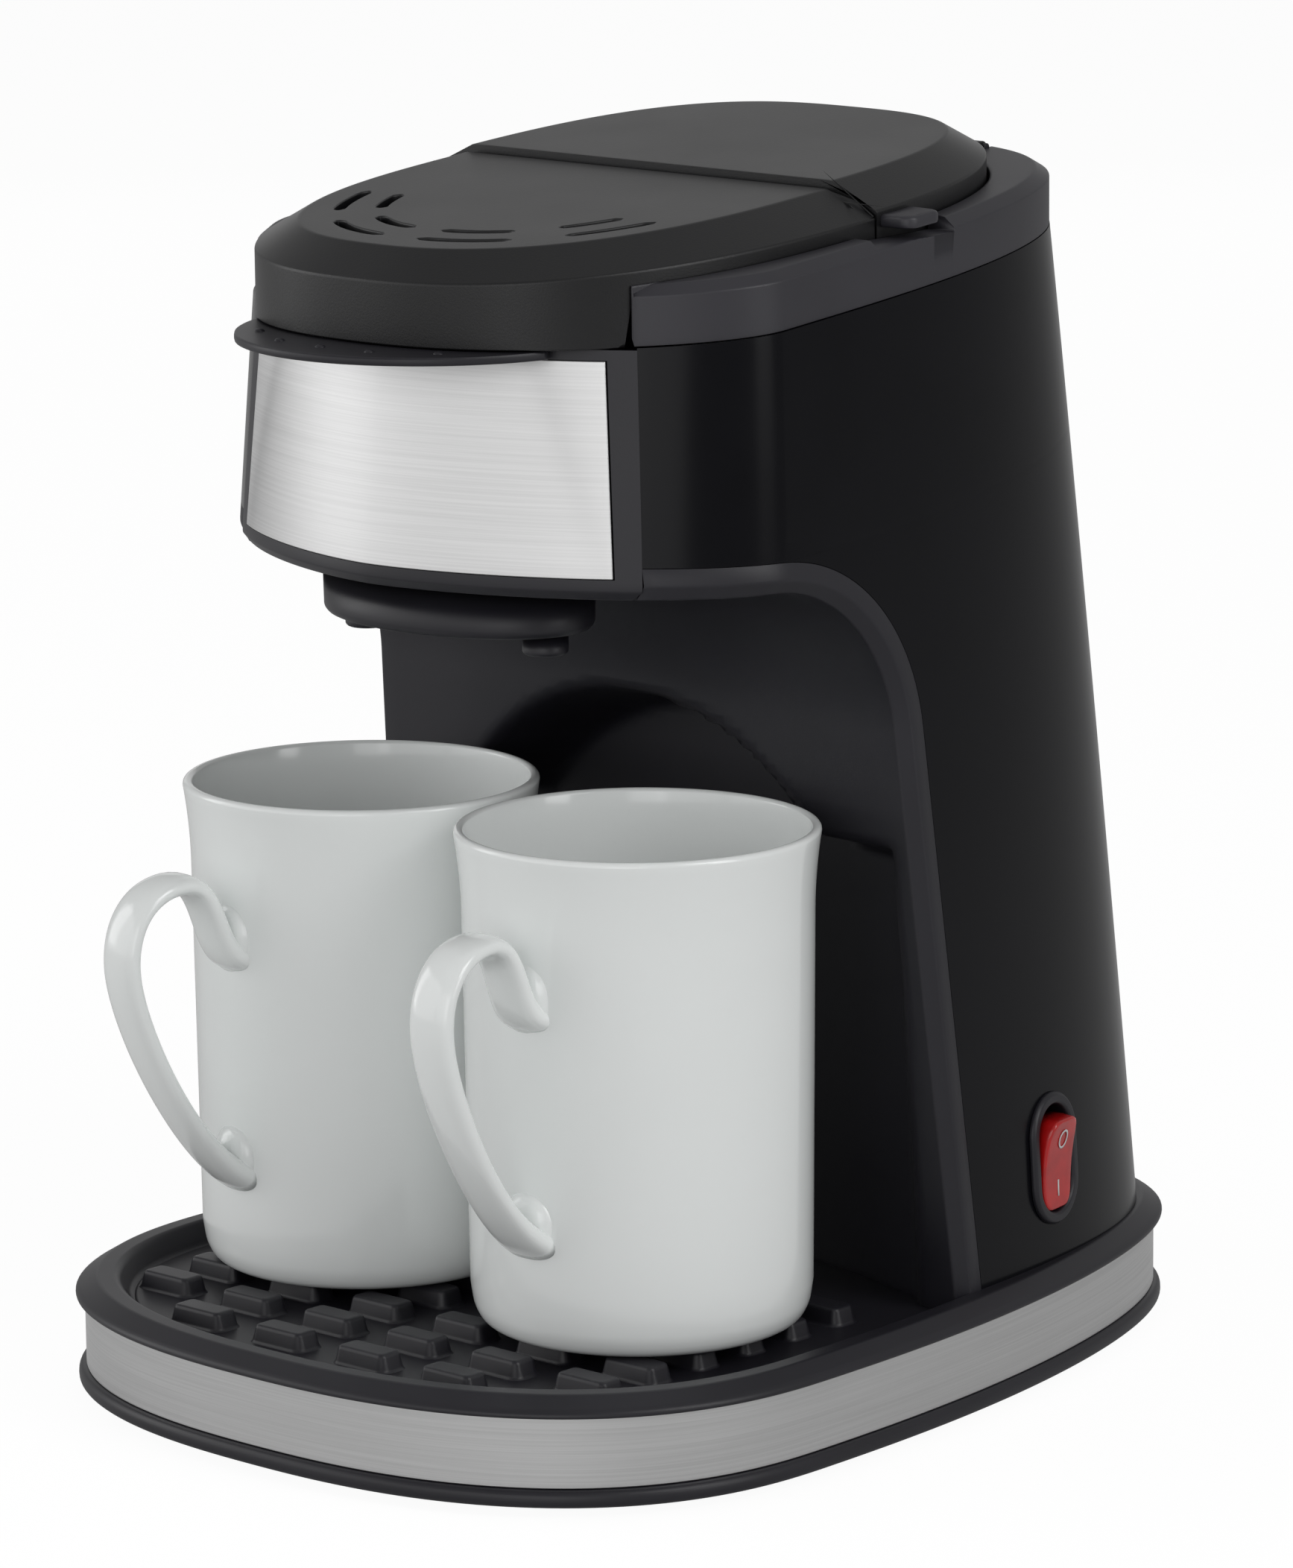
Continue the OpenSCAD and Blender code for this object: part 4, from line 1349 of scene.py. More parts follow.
@dataclass(frozen=True)
class Top:
    """The collar round the opening and the two lids.

    A pair of steam slots holds its middle line's half-width and depth, and the angles of its ends.
    """

    land_z: float = 255.0
    low_z: float = 257.8
    top_z: float = 263.4
    rim_z: float = 250.3
    collar_y: float = -58.6
    split_y: float = 6.0
    split_gap: float = 0.25
    proud: float = 1.4
    run: float = 12.1
    lid_wall: float = 2.2
    lid_gap: float = 0.6
    axis_y: float = 3.3
    axis_z: float = 261.061
    barrel: float = 2.5
    tank_axis: Flat = (87.3, 262.6)
    tank_edge_z: float = 257.0
    knuckle_x: float = 23.0
    knuckle_r: float = 1.3
    knuckle_y: float = 80.5
    pin_r: float = 0.9
    vents: tuple[tuple[float, float, float, float], ...] = (
        (45, 66, 4, 29.3), (45, 66, 43.5, 65), (36.2, 57.5, 4, 28), (36.2, 57.5, 42, 60),
    )
    tab_x: Flat = (55.0, 72.4)
    tab_y: Flat = (7.6, 18.8)
    tab_corner: float = 3.0
    tab_side: tuple[Flat, ...] = (
        (-0.9, 255.3), (-0.2, 255.5), (0.0, 256.1), (0.0, 257.3), (-0.3, 257.8), (-1.0, 258.1),
    )
    grip_y: float = -61.8
    grip_r: float = 42.0
    grip_span: float = 77.5
    dome_x: tuple[float, ...] = (-26, -13, 0, 13, 26)

    def collar(self, finishes: Finishes) -> None:
        """Makes the matte collar with the notch for the finger tab and the slots for the rear hinge.

        Args:
            finishes: The machine's materials.
        """
        count = 150
        start = BODY_TOP.angle_at(self.collar_y)
        outer = BODY_TOP.even_angles(start, 180, count)
        inner = LID_LOW.even_angles(LID_LOW.angle_at(self.collar_y, self.lid_gap), 180, count)
        land_z = self.land_z
        side = [(0.0, SEAM_Z + 0.15), (0.0, land_z - 2.1), (-2.8, land_z - 0.05), (-4.0, land_z)]
        side = rounded(side, 0.35, 3)
        stations: list[list[Point]] = []
        for a, b in zip(outer, inner):
            ring = [(*p, sloped(z, p[1])) for p, z in ((BODY_TOP.point(a, grow), z) for grow, z in side)]
            (ax, ay), (bx, by) = BODY_TOP.point(a, side[-1][0]), LID_LOW.point(b, self.lid_gap)
            for share, drop in [(0.5, 0.0), (0.9, 0.0), (0.97, 0.08), (1.0, 0.45), (1.0, 3.0), (1.0, 10.8)]:
                x, y = mix(ax, bx, share), mix(ay, by, share)
                ring.append((x, y, sloped(land_z, y) - drop))
            stations.append(ring)
        stations += [[(-x, y, z) for x, y, z in ring] for ring in reversed(stations[:-1])]
        cutters = [solid("tab_notch", box_sketch((60, -2, 254.0), (90, 24, 290)))]
        for x in (-self.knuckle_x, self.knuckle_x):
            cutters.append(solid("hinge_slot", box_sketch((x - 4, 80, 259.4), (x + 4, 90.5, 290))))
        trim = Trim(bevel=0.35, cutters=tuple(cutters), bevel_angle=60, steps=2)
        sketch, black = Sketch().closed(stations), Accent.COLLAR_BLACK
        piece(finishes, "lid_collar", sketch, Body.MACHINE, Slot.SATIN_BLACK, trim, ["collar"], finish=black)

    def lid_rows(self, lid: Lid) -> list[list[Point]]:
        """Makes the rings of one lid, from its lower edge to the flat top.

        Args:
            lid: Which lid.

        Returns:
            The rings.
        """
        lift = self.proud if lid is Lid.TANK else 0.0
        low, top, run = self.low_z, self.top_z + lift, self.run
        levels = rounded([(0.0, low - 3.0), (0.0, low + lift), (run, top), (run + 4.0, top)], 0.55, 4)
        return [self.lid_ring(lid, inset, z, lift) for inset, z in [(0.0, None), *levels]]

    def front_wall(self, height: float) -> float:
        """Finds the front lid's rear wall, which rounds over above its hinge's axis.

        Args:
            height: Height at y = 0.

        Returns:
            The wall's y.
        """
        reach = self.barrel
        if height > self.axis_z:
            reach = math.sqrt(max(0.0, self.barrel**2 - (height - self.axis_z) ** 2))
        return self.axis_y + max(0.65, reach)

    def lid_ring(self, lid: Lid, inset: float, z: Optional[float], lift: float) -> list[Point]:
        """Makes one closed ring of a lid: the outline's arc and the straight side at the split.

        Args:
            lid: Which lid.
            inset: How far the ring lies inside the lid's lower outline.
            z: Height at y = 0, or None for the lower edge.
            lift: How far this lid stands proud.

        Returns:
            The ring's points.
        """
        front = lid is Lid.FRONT
        shape = LID_LOW.mixed(LID_TOP, min(1.0, inset / self.run))
        grow = -max(0.0, inset - self.run)
        low_z, top_z = self.axis_z - self.barrel if front else self.tank_edge_z, self.top_z + lift
        height = mix(low_z, top_z, ((self.rim_z if z is None else z) - self.rim_z) / (top_z - self.rim_z))
        wall_y = self.front_wall(height) + grow if front else self.split_y + self.split_gap - grow
        start = shape.angle_at(wall_y, grow)
        ends = (-start, start) if front else (start, 360 - start)
        out: list[Point] = []
        for x, y in (shape.point(a, grow) for a in shape.even_angles(*ends, 170)):
            if z is None:
                level = SKIRT_Z if y < self.collar_y - 0.7 else sloped(self.rim_z, y)
                out.append((x, y, level + 0.1))
            else:
                out.append((x, y, sloped(z, y)))
        first, last, steps = out[-1][0], out[0][0], 24
        for k in range(1, steps):
            out.append((mix(first, last, k / steps), wall_y, sloped(height, wall_y)))
        return out

    def vent_point(self, angle: float, half_w: float, depth: float) -> Vector:
        """Returns a point on a steam slot's middle line, which follows the lid's front edge."""
        s, c = math.sin(math.radians(angle)), math.cos(math.radians(angle))
        return Vector((half_w * power(s, LID_TOP.front_n), LID_TOP.y - depth * power(c, LID_TOP.front_n)))

    def vent_cutter(self, index: int) -> bpy.types.Object:
        """Makes the solid that cuts one pair of steam slots.

        Args:
            index: Number of the pair.

        Returns:
            The cutter.
        """
        half_w, depth, first, last = self.vents[index]
        steps, half_slot = 16, 1.3
        sketch = Sketch()
        for side in (1, -1):
            left, right = [], []
            for k in range(steps + 1):
                angle = mix(first, last, k / steps)
                at = self.vent_point(angle, side * half_w, depth)
                after = self.vent_point(angle + 0.5, side * half_w, depth)
                before = self.vent_point(angle - 0.5, side * half_w, depth)
                along = (after - before).normalized()
                width = half_slot * math.sqrt(max(0.02, 1 - abs(2 * k / steps - 1) ** 12))
                out = Vector((along.y, -along.x)) * side * width
                left.append(at + out)
                right.append(at - out)
            ring = left + right[::-1]
            sketch.closed([[(p.x, p.y, z) for p in ring] for z in (250.0, 275.0)])
        return solid(f"vent_{index}", sketch)

    def front_lid(self, finishes: Finishes) -> None:
        """Makes the front lid with its steam slots.

        Args:
            finishes: The machine's materials.
        """
        sketch = Sketch().grid(self.lid_rows(Lid.FRONT), around=True, caps=(False, True))
        cutters = tuple(self.vent_cutter(i) for i in range(len(self.vents)))
        trim = Trim(wall=self.lid_wall, bevel=0.35, cutters=cutters, cut_first=True, bevel_angle=60, steps=2)
        piece(finishes, "filter_lid", sketch, Body.FRONT_LID, Slot.LID_BLACK, trim, ["front_lid"])

    def tank_lid(self, finishes: Finishes) -> None:
        """Makes the tank lid.

        Args:
            finishes: The machine's materials.
        """
        sketch = Sketch().grid(self.lid_rows(Lid.TANK), around=True, caps=(False, True))
        trim = Trim(wall=self.lid_wall, bevel=0.35, bevel_angle=60, steps=2)
        piece(finishes, "water_lid", sketch, Body.TANK_LID, Slot.LID_BLACK, trim, ["tank_lid"])

    def tank_hinge(self, finishes: Finishes) -> None:
        """Makes the tank lid's knuckles and the pins that they turn on.

        Args:
            finishes: The machine's materials.
        """
        (y, z), r, pin_r = self.tank_axis, self.knuckle_r, self.pin_r
        half = [math.radians(a) for a in range(-90, 91, 15)]
        side = [(y + r * math.cos(t), z + r * math.sin(t)) for t in half]
        side += [(self.knuckle_y, z + r), (self.knuckle_y, z - r)]
        pin = [(y + pin_r * math.cos(t), z + pin_r * math.sin(t)) for t in turns(32)]
        knuckles, pins = Sketch(), Sketch()
        for x in (-self.knuckle_x, self.knuckle_x):
            knuckles.closed([[(x + s, *p) for p in side] for s in (-3.5, 3.5)])
            pins.closed([[(x + s, *p) for p in pin] for s in (-4.5, 4.5)])
        piece(finishes, "water_lid_knuckles", knuckles, Body.TANK_LID, Slot.LID_BLACK, Trim(bevel=0.4))
        trim, stands_for, black = Trim(bevel=0.2), ["tank_lid_pins"], Slot.SATIN_BLACK
        piece(finishes, "water_lid_pins", pins, Body.MACHINE, Slot.ZINC, trim, stands_for, finish=black)

    def tab(self, finishes: Finishes) -> None:
        """Makes the finger tab at the tank lid's right side.

        Args:
            finishes: The machine's materials.
        """
        (left, right), (low, high), r = self.tab_x, self.tab_y, self.tab_corner
        steps = 8
        rows = []
        for grow, z in self.tab_side:
            ring: list[Point] = []
            for cx, cy, first in [(right - r, low + r, -90), (right - r, high - r, 0)]:
                for k in range(steps + 1):
                    t = math.radians(first + 90 * k / steps)
                    ring.append((cx + (r + grow) * math.cos(t), cy + (r + grow) * math.sin(t), sloped(z, cy)))
            ring += [(left, high + grow, sloped(z, high)), (left, low - grow, sloped(z, low))]
            rows.append(ring)
        sketch, trim, black = Sketch().closed(rows), Trim(bevel=0.3), Accent.COLLAR_BLACK
        piece(finishes, "water_lid_tab", sketch, Body.TANK_LID, Slot.LID_BLACK, trim, finish=black)

    def grip(self, finishes: Finishes) -> None:
        """Makes the curved grip under the front lid's skirt, with its row of small domes.

        Args:
            finishes: The machine's materials.
        """
        low, high = SKIRT_Z - 2.0, SKIRT_Z - 0.15
        head, steps = Head(), 128
        rows = []
        for k in range(steps + 1):
            t = math.radians(mix(-self.grip_span, self.grip_span, k / steps))
            out_x, out_y = self.grip_r * math.sin(t), self.grip_y - self.grip_r * math.cos(t)
            in_x = out_x * 0.97
            in_y = max(out_y + 1.0, head.front_y(in_x, low, 0.8))
            width = math.hypot(out_x - in_x, out_y - in_y)
            side = [(width, low), (0.6, low), (0.15, low + 0.15), (0, low + 0.6)]
            side += [(0, high - 0.6), (0.15, high - 0.15), (0.6, high), (width, high)]
            rows.append([(mix(out_x, in_x, b / width), mix(out_y, in_y, b / width), z) for b, z in side])
        sketch = Sketch().closed(rows)
        dome = [(1.3, high - 0.3), (1.1, high + 0.1), (0.8, high + 0.4), (0.3, high + 0.5)]
        for x in self.dome_x:
            y = self.grip_y - math.sqrt((self.grip_r - 8 + 0.1 * abs(x)) ** 2 - x * x)
            sketch.closed(lathe(dome, (x, y), 24))
        piece(finishes, "lid_grip", sketch, Body.FRONT_LID, Slot.SATIN_BLACK, Trim(), ["grip_lip"])

    def build(self, finishes: Finishes) -> None:
        """Makes the collar, the lids and the grip.

        Args:
            finishes: The machine's materials.
        """
        self.collar(finishes)
        self.front_lid(finishes)
        self.tank_lid(finishes)
        self.tank_hinge(finishes)
        self.tab(finishes)
        self.grip(finishes)


# ---------------------------------------------------------------- switch


@dataclass(frozen=True)
class Switch:
    """The power switch on the right side: oval bezel and lit red rocker.

    It is built about its own axes: x out of the wall, y across and z up.
    """

    place_at: Point = (79.2, 47.0, 48.3)
    yaw: float = 9.8
    pitch: float = -3.3
    width: float = 19.0
    height: float = 29.5
    tilt: float = 9.0
    pivot: float = -5.0
    hole_grow: float = -4.0
    hole_reach: float = 20.0
    bezel_side: tuple[Flat, ...] = (
        (0.0, 0.0), (0.0, 0.6), (-1.2, 1.3), (-4.4, 1.3), (-5.6, 0.7), (-5.6, -6.0),
    )
    rocker_size: Flat = (12.2, 20.6)
    rocker_edge: tuple[Flat, ...] = ((0.0, 9.0), (0.0, 0.9), (-0.12, 0.45), (-0.45, 0.12), (-1.0, 0.0))
    face_x: float = 6.7
    face_hollow: float = 1.2
    mark_proud: float = 0.14
    ring_z: float = 5.6
    ring_radii: Flat = (1.7, 2.2)
    bar_y: Flat = (-0.25, 0.25)
    bar_z: tuple[float, ...] = (-7.4, -6.2, -5.0, -3.8)

    def place(self) -> Matrix:
        """Works out the turn and move from the switch's own axes to the frame's.

        Returns:
            The matrix, in metres.
        """
        yaw = Matrix.Rotation(math.radians(self.yaw), 4, "Z")
        pitch = Matrix.Rotation(math.radians(self.pitch), 4, "Y")
        return Matrix.Translation(Vector(self.place_at) * MM) @ yaw @ pitch

    def rocker_place(self) -> Matrix:
        """Returns the same for the rocker at rest."""
        lean = Matrix.Translation((self.pivot * MM, 0, 0)) @ Matrix.Rotation(math.radians(self.tilt), 4, "Y")
        return self.place() @ lean

    def stadium(self, width: float, height: float, count: int = 24) -> list[Flat]:
        """Makes an outline with round ends.

        Args:
            width: Full width.
            height: Full height.
            count: Steps round each end.

        Returns:
            The closed outline, across and up.
        """
        r, middle = width / 2, (height - width) / 2
        out = []
        for sign in (1, -1):
            for k in range(count + 1):
                t = math.pi * k / count
                out.append((sign * r * math.cos(t), sign * (middle + r * math.sin(t))))
        return out

    def stadium_rings(self, profile: Sequence[Flat]) -> list[list[Point]]:
        """Returns rings of the bezel's outline for a profile of growth and distance out of the wall."""
        width, height = self.width, self.height
        return [[(x, y, z) for y, z in self.stadium(width + grow, height + grow)] for grow, x in profile]

    def hole(self) -> bpy.types.Object:
        """Makes the solid that cuts the bezel's opening in the body's wall.

        Returns:
            The cutter.
        """
        profile = [(self.hole_grow, -self.hole_reach), (self.hole_grow, self.hole_reach)]
        thing = solid("switch_hole", Sketch().closed(self.stadium_rings(profile)))
        thing.data.transform(self.place())
        return thing

    def bezel(self, finishes: Finishes) -> None:
        """Makes the raised oval bezel.

        Args:
            finishes: The machine's materials.
        """
        sketch = Sketch().grid(self.stadium_rings(rounded(self.bezel_side, 0.6, 4)), around=True)
        stands_for, place = ["switch_bezel"], self.place()
        piece(finishes, "oval_bezel", sketch, Body.MACHINE, Slot.SATIN_BLACK, Trim(), stands_for, place)

    def face_at(self, z: float) -> float:
        """Returns how far out the rocker's hollow face is at a height."""
        return self.face_x + self.face_hollow * min(1.0, abs(z) / (self.rocker_size[1] / 2)) ** 2

    def rocker(self, finishes: Finishes) -> None:
        """Makes the red rocker: its side, and its face in rings that narrow to the middle line.

        Args:
            finishes: The machine's materials.
        """
        levels = [(grow, drop, 1.0) for grow, drop in self.rocker_edge]
        levels += [(*self.rocker_edge[-1], share) for share in (0.75, 0.5, 0.25, 0.0)]
        rows = []
        for grow, drop, share in levels:
            half_w, half_h = (self.rocker_size[0] + grow) * share / 2, (self.rocker_size[1] + grow) / 2
            ring: list[Point] = []
            for t in turns(72):
                y, z = half_w * power(math.cos(t), 5.0), half_h * power(math.sin(t), 3.4)
                ring.append((self.face_at(z) - drop, y, z))
            rows.append(ring)
        sketch = Sketch().grid(rows, around=True, caps=(True, False))
        place = self.rocker_place()
        piece(finishes, "red_rocker", sketch, Body.ROCKER, Slot.RED_ROCKER, Trim(), ["rocker"], place)

    def marks(self, finishes: Finishes) -> None:
        """Makes the off ring and the on bar.

        Args:
            finishes: The machine's materials.
        """
        ring = []
        for radius in self.ring_radii:
            flat = [(radius * 0.82 * math.cos(t), self.ring_z + radius * math.sin(t)) for t in turns(48)]
            ring.append([(self.face_at(z) + self.mark_proud, y, z) for y, z in flat])
        bar = [[(self.face_at(z) + self.mark_proud, y, z) for y in self.bar_y] for z in self.bar_z]
        sketch, trim, place = Sketch().grid(ring, around=True).grid(bar), Trim(wall=0.1), self.rocker_place()
        white = Accent.MARK_WHITE
        piece(finishes, "rocker_marks", sketch, Body.ROCKER, Slot.RED_ROCKER, trim, (), place, white)

    def build(self, finishes: Finishes) -> None:
        """Makes the switch's pieces.

        Args:
            finishes: The machine's materials.
        """
        self.bezel(finishes)
        self.rocker(finishes)
        self.marks(finishes)


# ---------------------------------------------------------------- mugs


@dataclass(frozen=True)
class Mug:
    """One white mug with an ear-shaped handle.

    Profiles hold distances from the mug's axis and heights above its foot. The handle is a row of
    curves with four such points each. A pad holds the height of its middle and half of its width
    and height, and its side holds shares of that size and distances out of the wall.
    """

    name: str
    body: Body
    x: float
    turn: float
    y: float = -44.5
    stand_z: float = 25.05
    height: float = 107.8
    rim_r: float = 39.0
    waist_r: float = 37.5
    foot_r: float = 36.7
    foot_top: float = 9.0
    flare_z: float = 88.0
    wall: float = 3.0
    lip_r: float = 1.15
    foot: tuple[Flat, ...] = (
        (1.0, 1.6), (26.6, 1.6), (28.0, 0.4), (29.2, 0.0), (31.6, 0.0), (34.4, 1.2), (36.0, 4.2), (36.7, 9.0),
    )
    inside: tuple[Flat, ...] = (
        (36.4, 103.8), (36.1, 100), (35.0, 90), (34.6, 60), (33.8, 14), (32.4, 8), (27, 5.2), (1.0, 4.8),
    )
    handle: tuple[tuple[Flat, Flat, Flat, Flat], ...] = (
        ((35.7, 73), (43, 74.5), (41, 91.5), (52, 91)),
        ((52, 91), (61, 90.5), (66.2, 83), (65.2, 73)),
        ((65.2, 73), (63.7, 59), (48, 29.5), (35.5, 24)),
    )
    handle_half: Flat = (5.6, 2.3)
    handle_spread: Flat = (0.32, 0.55)
    pads: tuple[tuple[float, float, float], ...] = ((77.0, 6.6, 7.2), (28.0, 6.2, 6.4))
    pad_r: float = 37.0
    pad_side: tuple[Flat, ...] = ((1.12, -1.2), (1.06, 0.1), (0.96, 0.9), (0.8, 1.6), (0.58, 2.1), (0.3, 2.4))

    def profile(self) -> list[Flat]:
        """Works out the mug's turned profile.

        Returns:
            Radius and height, from the middle of the foot to the middle of the floor.
        """
        out = rounded(self.foot, 1.5, 4)
        side_steps, flare_steps, lip_steps = 16, 12, 8
        for k in range(1, side_steps + 1):
            t = k / side_steps
            out.append((mix(self.foot_r, self.waist_r, t), mix(self.foot_top, self.flare_z, t)))
        for k in range(1, flare_steps + 1):
            z = mix(self.flare_z, self.height - 1.2, k / flare_steps)
            out.append((mix(self.waist_r, self.rim_r, (k / flare_steps) ** 2), z))
        middle, top = self.rim_r - self.wall / 2 + 0.35, self.height - self.lip_r
        for k in range(1, lip_steps):
            a = math.pi * k / lip_steps
            out.append((middle + self.lip_r * math.cos(a), top + self.lip_r * math.sin(a)))
        return out + rounded(self.inside, 3.5, 5)

    def handle_at(self, u: float) -> Vector:
        """Finds a point on the handle's middle line.

        Args:
            u: From 0 at the upper join to 3 at the lower one.

        Returns:
            Distance from the axis, and height.
        """
        part = min(2, int(u))
        t = u - part
        weights = ((1 - t) ** 3, 3 * t * (1 - t) ** 2, 3 * t * t * (1 - t), t**3)
        y, z = (sum(w * p[axis] for w, p in zip(weights, self.handle[part])) for axis in (0, 1))
        return Vector((y, z))

    def handle_rows(self) -> list[list[Point]]:
        """Makes the rings along the handle, which spreads where it joins the wall.

        Returns:
            The rings, from the upper join down.
        """
        rows = []
        steps, half = 72, 1.5
        for k in range(steps + 1):
            u = 3 * k / steps
            p = self.handle_at(u)
            q = self.handle_at(min(3, u + 0.01)) - self.handle_at(max(0, u - 0.01))
            n = Vector((q.y, -q.x)).normalized()
            out = abs(u - half) / half
            wide = self.handle_half[0] * (1 + self.handle_spread[0] * out**8)
            thick = self.handle_half[1] * (1 + self.handle_spread[1] * out**9)
            ring: list[Point] = []
            for a in turns(28):
                w, t = wide * power(math.cos(a), 2.5), thick * power(math.sin(a), 2.3)
                ring.append((-w, -(p.x + n.x * t), p.y + n.y * t))
            rows.append(ring)
        return rows

    def pad(self, middle: float, half_w: float, half_h: float) -> list[list[Point]]:
        """Returns the rings of a low rounded pad where the handle joins the wall.

        Args:
            middle: Height of its middle.
            half_w: Half of its width.
            half_h: Half of its height.

        Returns:
            The rings, from the wall outwards.
        """
        rows = []
        for share, depth in self.pad_side:
            ring: list[Point] = []
            for a in turns(40):
                x, z = half_w * share * power(math.cos(a), 2.2), half_h * share * power(math.sin(a), 2.2)
                ring.append((-x, -math.sqrt(self.pad_r**2 - x * x) - depth, middle + z))
            rows.append(ring)
        return rows

    def build(self, finishes: Finishes) -> None:
        """Makes the mug.

        Args:
            finishes: The machine's materials.
        """
        place = Matrix.Translation(Vector((self.x, self.y, self.stand_z)) * MM)
        turned = place @ Matrix.Rotation(math.radians(self.turn), 4, "Z")
        cup = Sketch().closed(lathe(self.profile(), (0.0, 0.0), 192))
        piece(finishes, f"{self.name}_cup", cup, self.body, Slot.PORCELAIN, Trim(), [self.name], place)
        handle = Sketch().closed(self.handle_rows())
        for pad in self.pads:
            handle.closed(self.pad(*pad))
        piece(finishes, f"{self.name}_handle", handle, self.body, Slot.PORCELAIN, Trim(), (), turned)


# ---------------------------------------------------------------- inner parts


@dataclass(frozen=True)
class Inside:
    """The CAD parts that stay as they are and only get a finish."""

    def build(self, finishes: Finishes, frame: dict) -> None:
        """Gives every CAD node the finish of its material slot.

        Args:
            finishes: The machine's materials.
            frame: The loaded CAD frame.
        """
        for row in frame["record"]["subparts"]:
            node = frame["nodes"][row["node"]]
            node.data.materials.clear()
            node.data.materials.append(finishes[Slot(row["material_slot"])])
            log.info("%s gets %s", row["node"], row["material_slot"])


# ---------------------------------------------------------------- studio


@dataclass(frozen=True)
class Lamp:
    """One soft lamp."""

    name: str
    at: Point
    aim: Point
    size: Flat
    watts: float


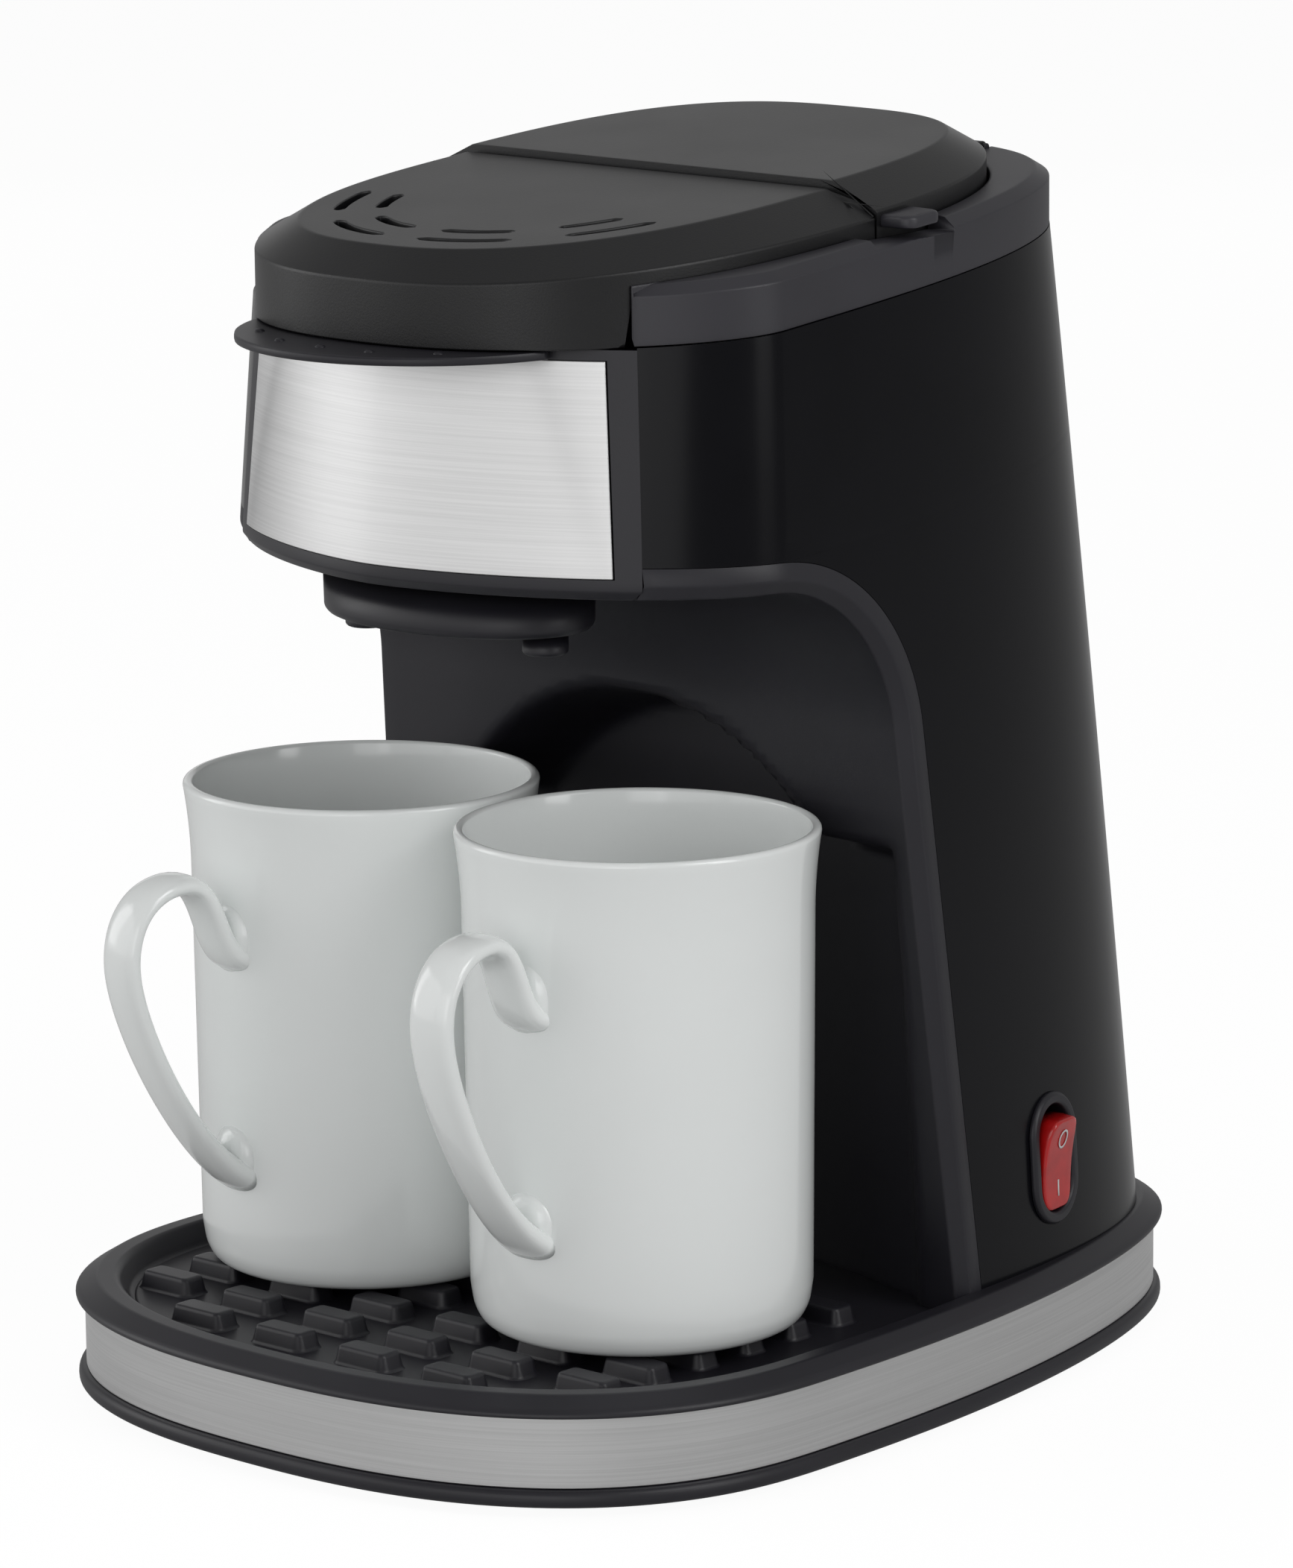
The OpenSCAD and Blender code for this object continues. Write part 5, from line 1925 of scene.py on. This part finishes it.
@dataclass(frozen=True)
class Studio:
    """The floor, the surroundings, the lamps and the camera, in metres and watts."""

    eye: Point = (1.088036, -1.193766, 0.466537)
    azimuth: float = 42.269
    pitch: float = 11.807
    roll: float = -0.576
    lens: float = 172.85
    lamps: tuple[Lamp, ...] = (
        Lamp("left", (-1.75, -0.8, 0.75), (0.0, 0.0, 0.1), (0.6, 1.3), 3.2),
        Lamp("left_wide", (-1.45, -1.25, 0.6), (0.0, 0.0, 0.1), (2.2, 1.5), 10.5),
        Lamp("front", (0.25, -2.0, 0.5), (0.0, 0.0, 0.1), (1.8, 1.2), 6.0),
        Lamp("near", (1.2, -1.7, 0.45), (0.0, 0.0, 0.1), (0.9, 1.0), 4.2),
        Lamp("top", (0.0, 0.1, 1.7), (0.0, 0.0, 0.1), (1.3, 1.1), 0.6),
        Lamp("back", (-1.4, 1.5, 0.5), (0.0, 0.0, 0.2), (1.6, 0.6), 1.2),
        Lamp("right_high", (1.5, 0.0, 1.3), (0.0, 0.0, 0.1), (0.8, 0.8), 7.0),
        Lamp("right", (1.8, 0.2, 0.7), (0.0, 0.0, 0.12), (0.6, 1.0), 5.5),
    )
    floor_half: float = 9000.0
    floor_grey: float = 0.62
    floor_white: float = 1.1
    soft: float = 0.26
    shown: float = 0.86
    mirrored: float = 0.16

    def camera(self) -> None:
        """Makes the camera."""
        a, e, r = (math.radians(v) for v in (self.azimuth, self.pitch, self.roll))
        forward = Vector((-math.sin(a) * math.cos(e), math.cos(a) * math.cos(e), -math.sin(e)))
        level = Vector((math.cos(a), math.sin(a), 0.0))
        upright = level.cross(forward)
        right = level * math.cos(r) + upright * math.sin(r)
        up = -level * math.sin(r) + upright * math.cos(r)
        lens = bpy.data.cameras.new("camera")
        lens.lens, lens.sensor_width, lens.clip_start, lens.clip_end = self.lens, 36.0, 0.05, 40.0
        camera = bpy.data.objects.new("camera", lens)
        turn = Matrix((right, up, -forward)).transposed().to_4x4()
        camera.matrix_world = Matrix.Translation(self.eye) @ turn
        bpy.context.scene.collection.objects.link(camera)
        bpy.context.scene.camera = camera

    def backdrop(self, nodes: Nodes, plain: Wire, white: Wire, shown: float) -> Wire:
        """Mixes plain light with white where a ray comes from the camera, and a little in reflections.

        Args:
            nodes: The node tree.
            plain: What other rays meet.
            white: What the camera sees.
            shown: Share of white that the camera sees.

        Returns:
            The mixed light.
        """
        path = nodes.node("ShaderNodeLightPath").outputs
        glossy, through, camera = (
            Wire(nodes, path[f"Is {ray} Ray"]) for ray in ("Glossy", "Transmission", "Camera")
        )
        share = glossy * self.mirrored + through * shown + camera * shown
        return nodes.out("ShaderNodeMixShader", {}, {0: share, 1: plain, 2: white})

    def floor(self) -> None:
        """Makes the plain pale floor, which shows white and keeps the object's shadow."""
        half = self.floor_half
        floor = solid("floor", Sketch().grid([[(-half, y, 0), (half, y, 0)] for y in (-half, half)]))
        material = bpy.data.materials.new("floor")
        material.use_nodes = True
        nodes = Nodes(material.node_tree)
        plain = nodes.out("ShaderNodeBsdfDiffuse", {}, {"Color": (self.floor_grey,) * 3})
        white = nodes.out("ShaderNodeEmission", {}, {"Color": (1, 1, 1), "Strength": self.floor_white})
        light = self.backdrop(nodes, plain, white, self.shown)
        nodes.node("ShaderNodeOutputMaterial", values={"Surface": light})
        floor.data.materials.append(material)
        floor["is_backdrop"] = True

    def surroundings(self) -> None:
        """Makes the world: white where the camera looks past the floor, softer for the light it gives."""
        world = bpy.data.worlds.new("studio")
        bpy.context.scene.world = world
        world.use_nodes = True
        nodes = Nodes(world.node_tree)
        white, soft = (
            nodes.out("ShaderNodeBackground", {}, {"Color": (1, 1, 1), "Strength": strength})
            for strength in (1.0, self.soft)
        )
        nodes.node("ShaderNodeOutputWorld", values={"Surface": self.backdrop(nodes, soft, white, 1.0)})

    def light(self) -> None:
        """Makes the lamps."""
        for lamp in self.lamps:
            data = bpy.data.lights.new(lamp.name, "AREA")
            data.shape, data.energy = "RECTANGLE", lamp.watts
            data.size, data.size_y = lamp.size
            thing = bpy.data.objects.new(lamp.name, data)
            thing.location = lamp.at
            thing.rotation_mode = "QUATERNION"
            thing.rotation_quaternion = (Vector(lamp.aim) - Vector(lamp.at)).to_track_quat("-Z", "Y")
            bpy.context.scene.collection.objects.link(thing)

    def build(self) -> None:
        """Makes the whole studio."""
        bpy.context.scene.view_settings.view_transform = "Standard"
        self.camera()
        self.floor()
        self.surroundings()
        self.light()


def corners() -> list[list[float]]:
    """Returns the lowest and the highest corner of what is shown."""
    return [list(corner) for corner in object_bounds()]


def main() -> None:
    """Dresses the frame."""
    logging.basicConfig(level=logging.INFO, format="%(name)s: %(message)s")
    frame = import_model()
    finishes = Finishes().build()
    switch = Switch()
    Inside().build(finishes, frame)
    Base().build(finishes)
    Column().build(finishes, switch)
    Head().build(finishes)
    Top().build(finishes)
    switch.build(finishes)
    Mug("mug_left", Body.MUG_LEFT, -40.7, -8.0).build(finishes)
    Mug("mug_right", Body.MUG_RIGHT, 40.7, 1.5).build(finishes)
    Studio().build()


if __name__ == "__main__":
    main()
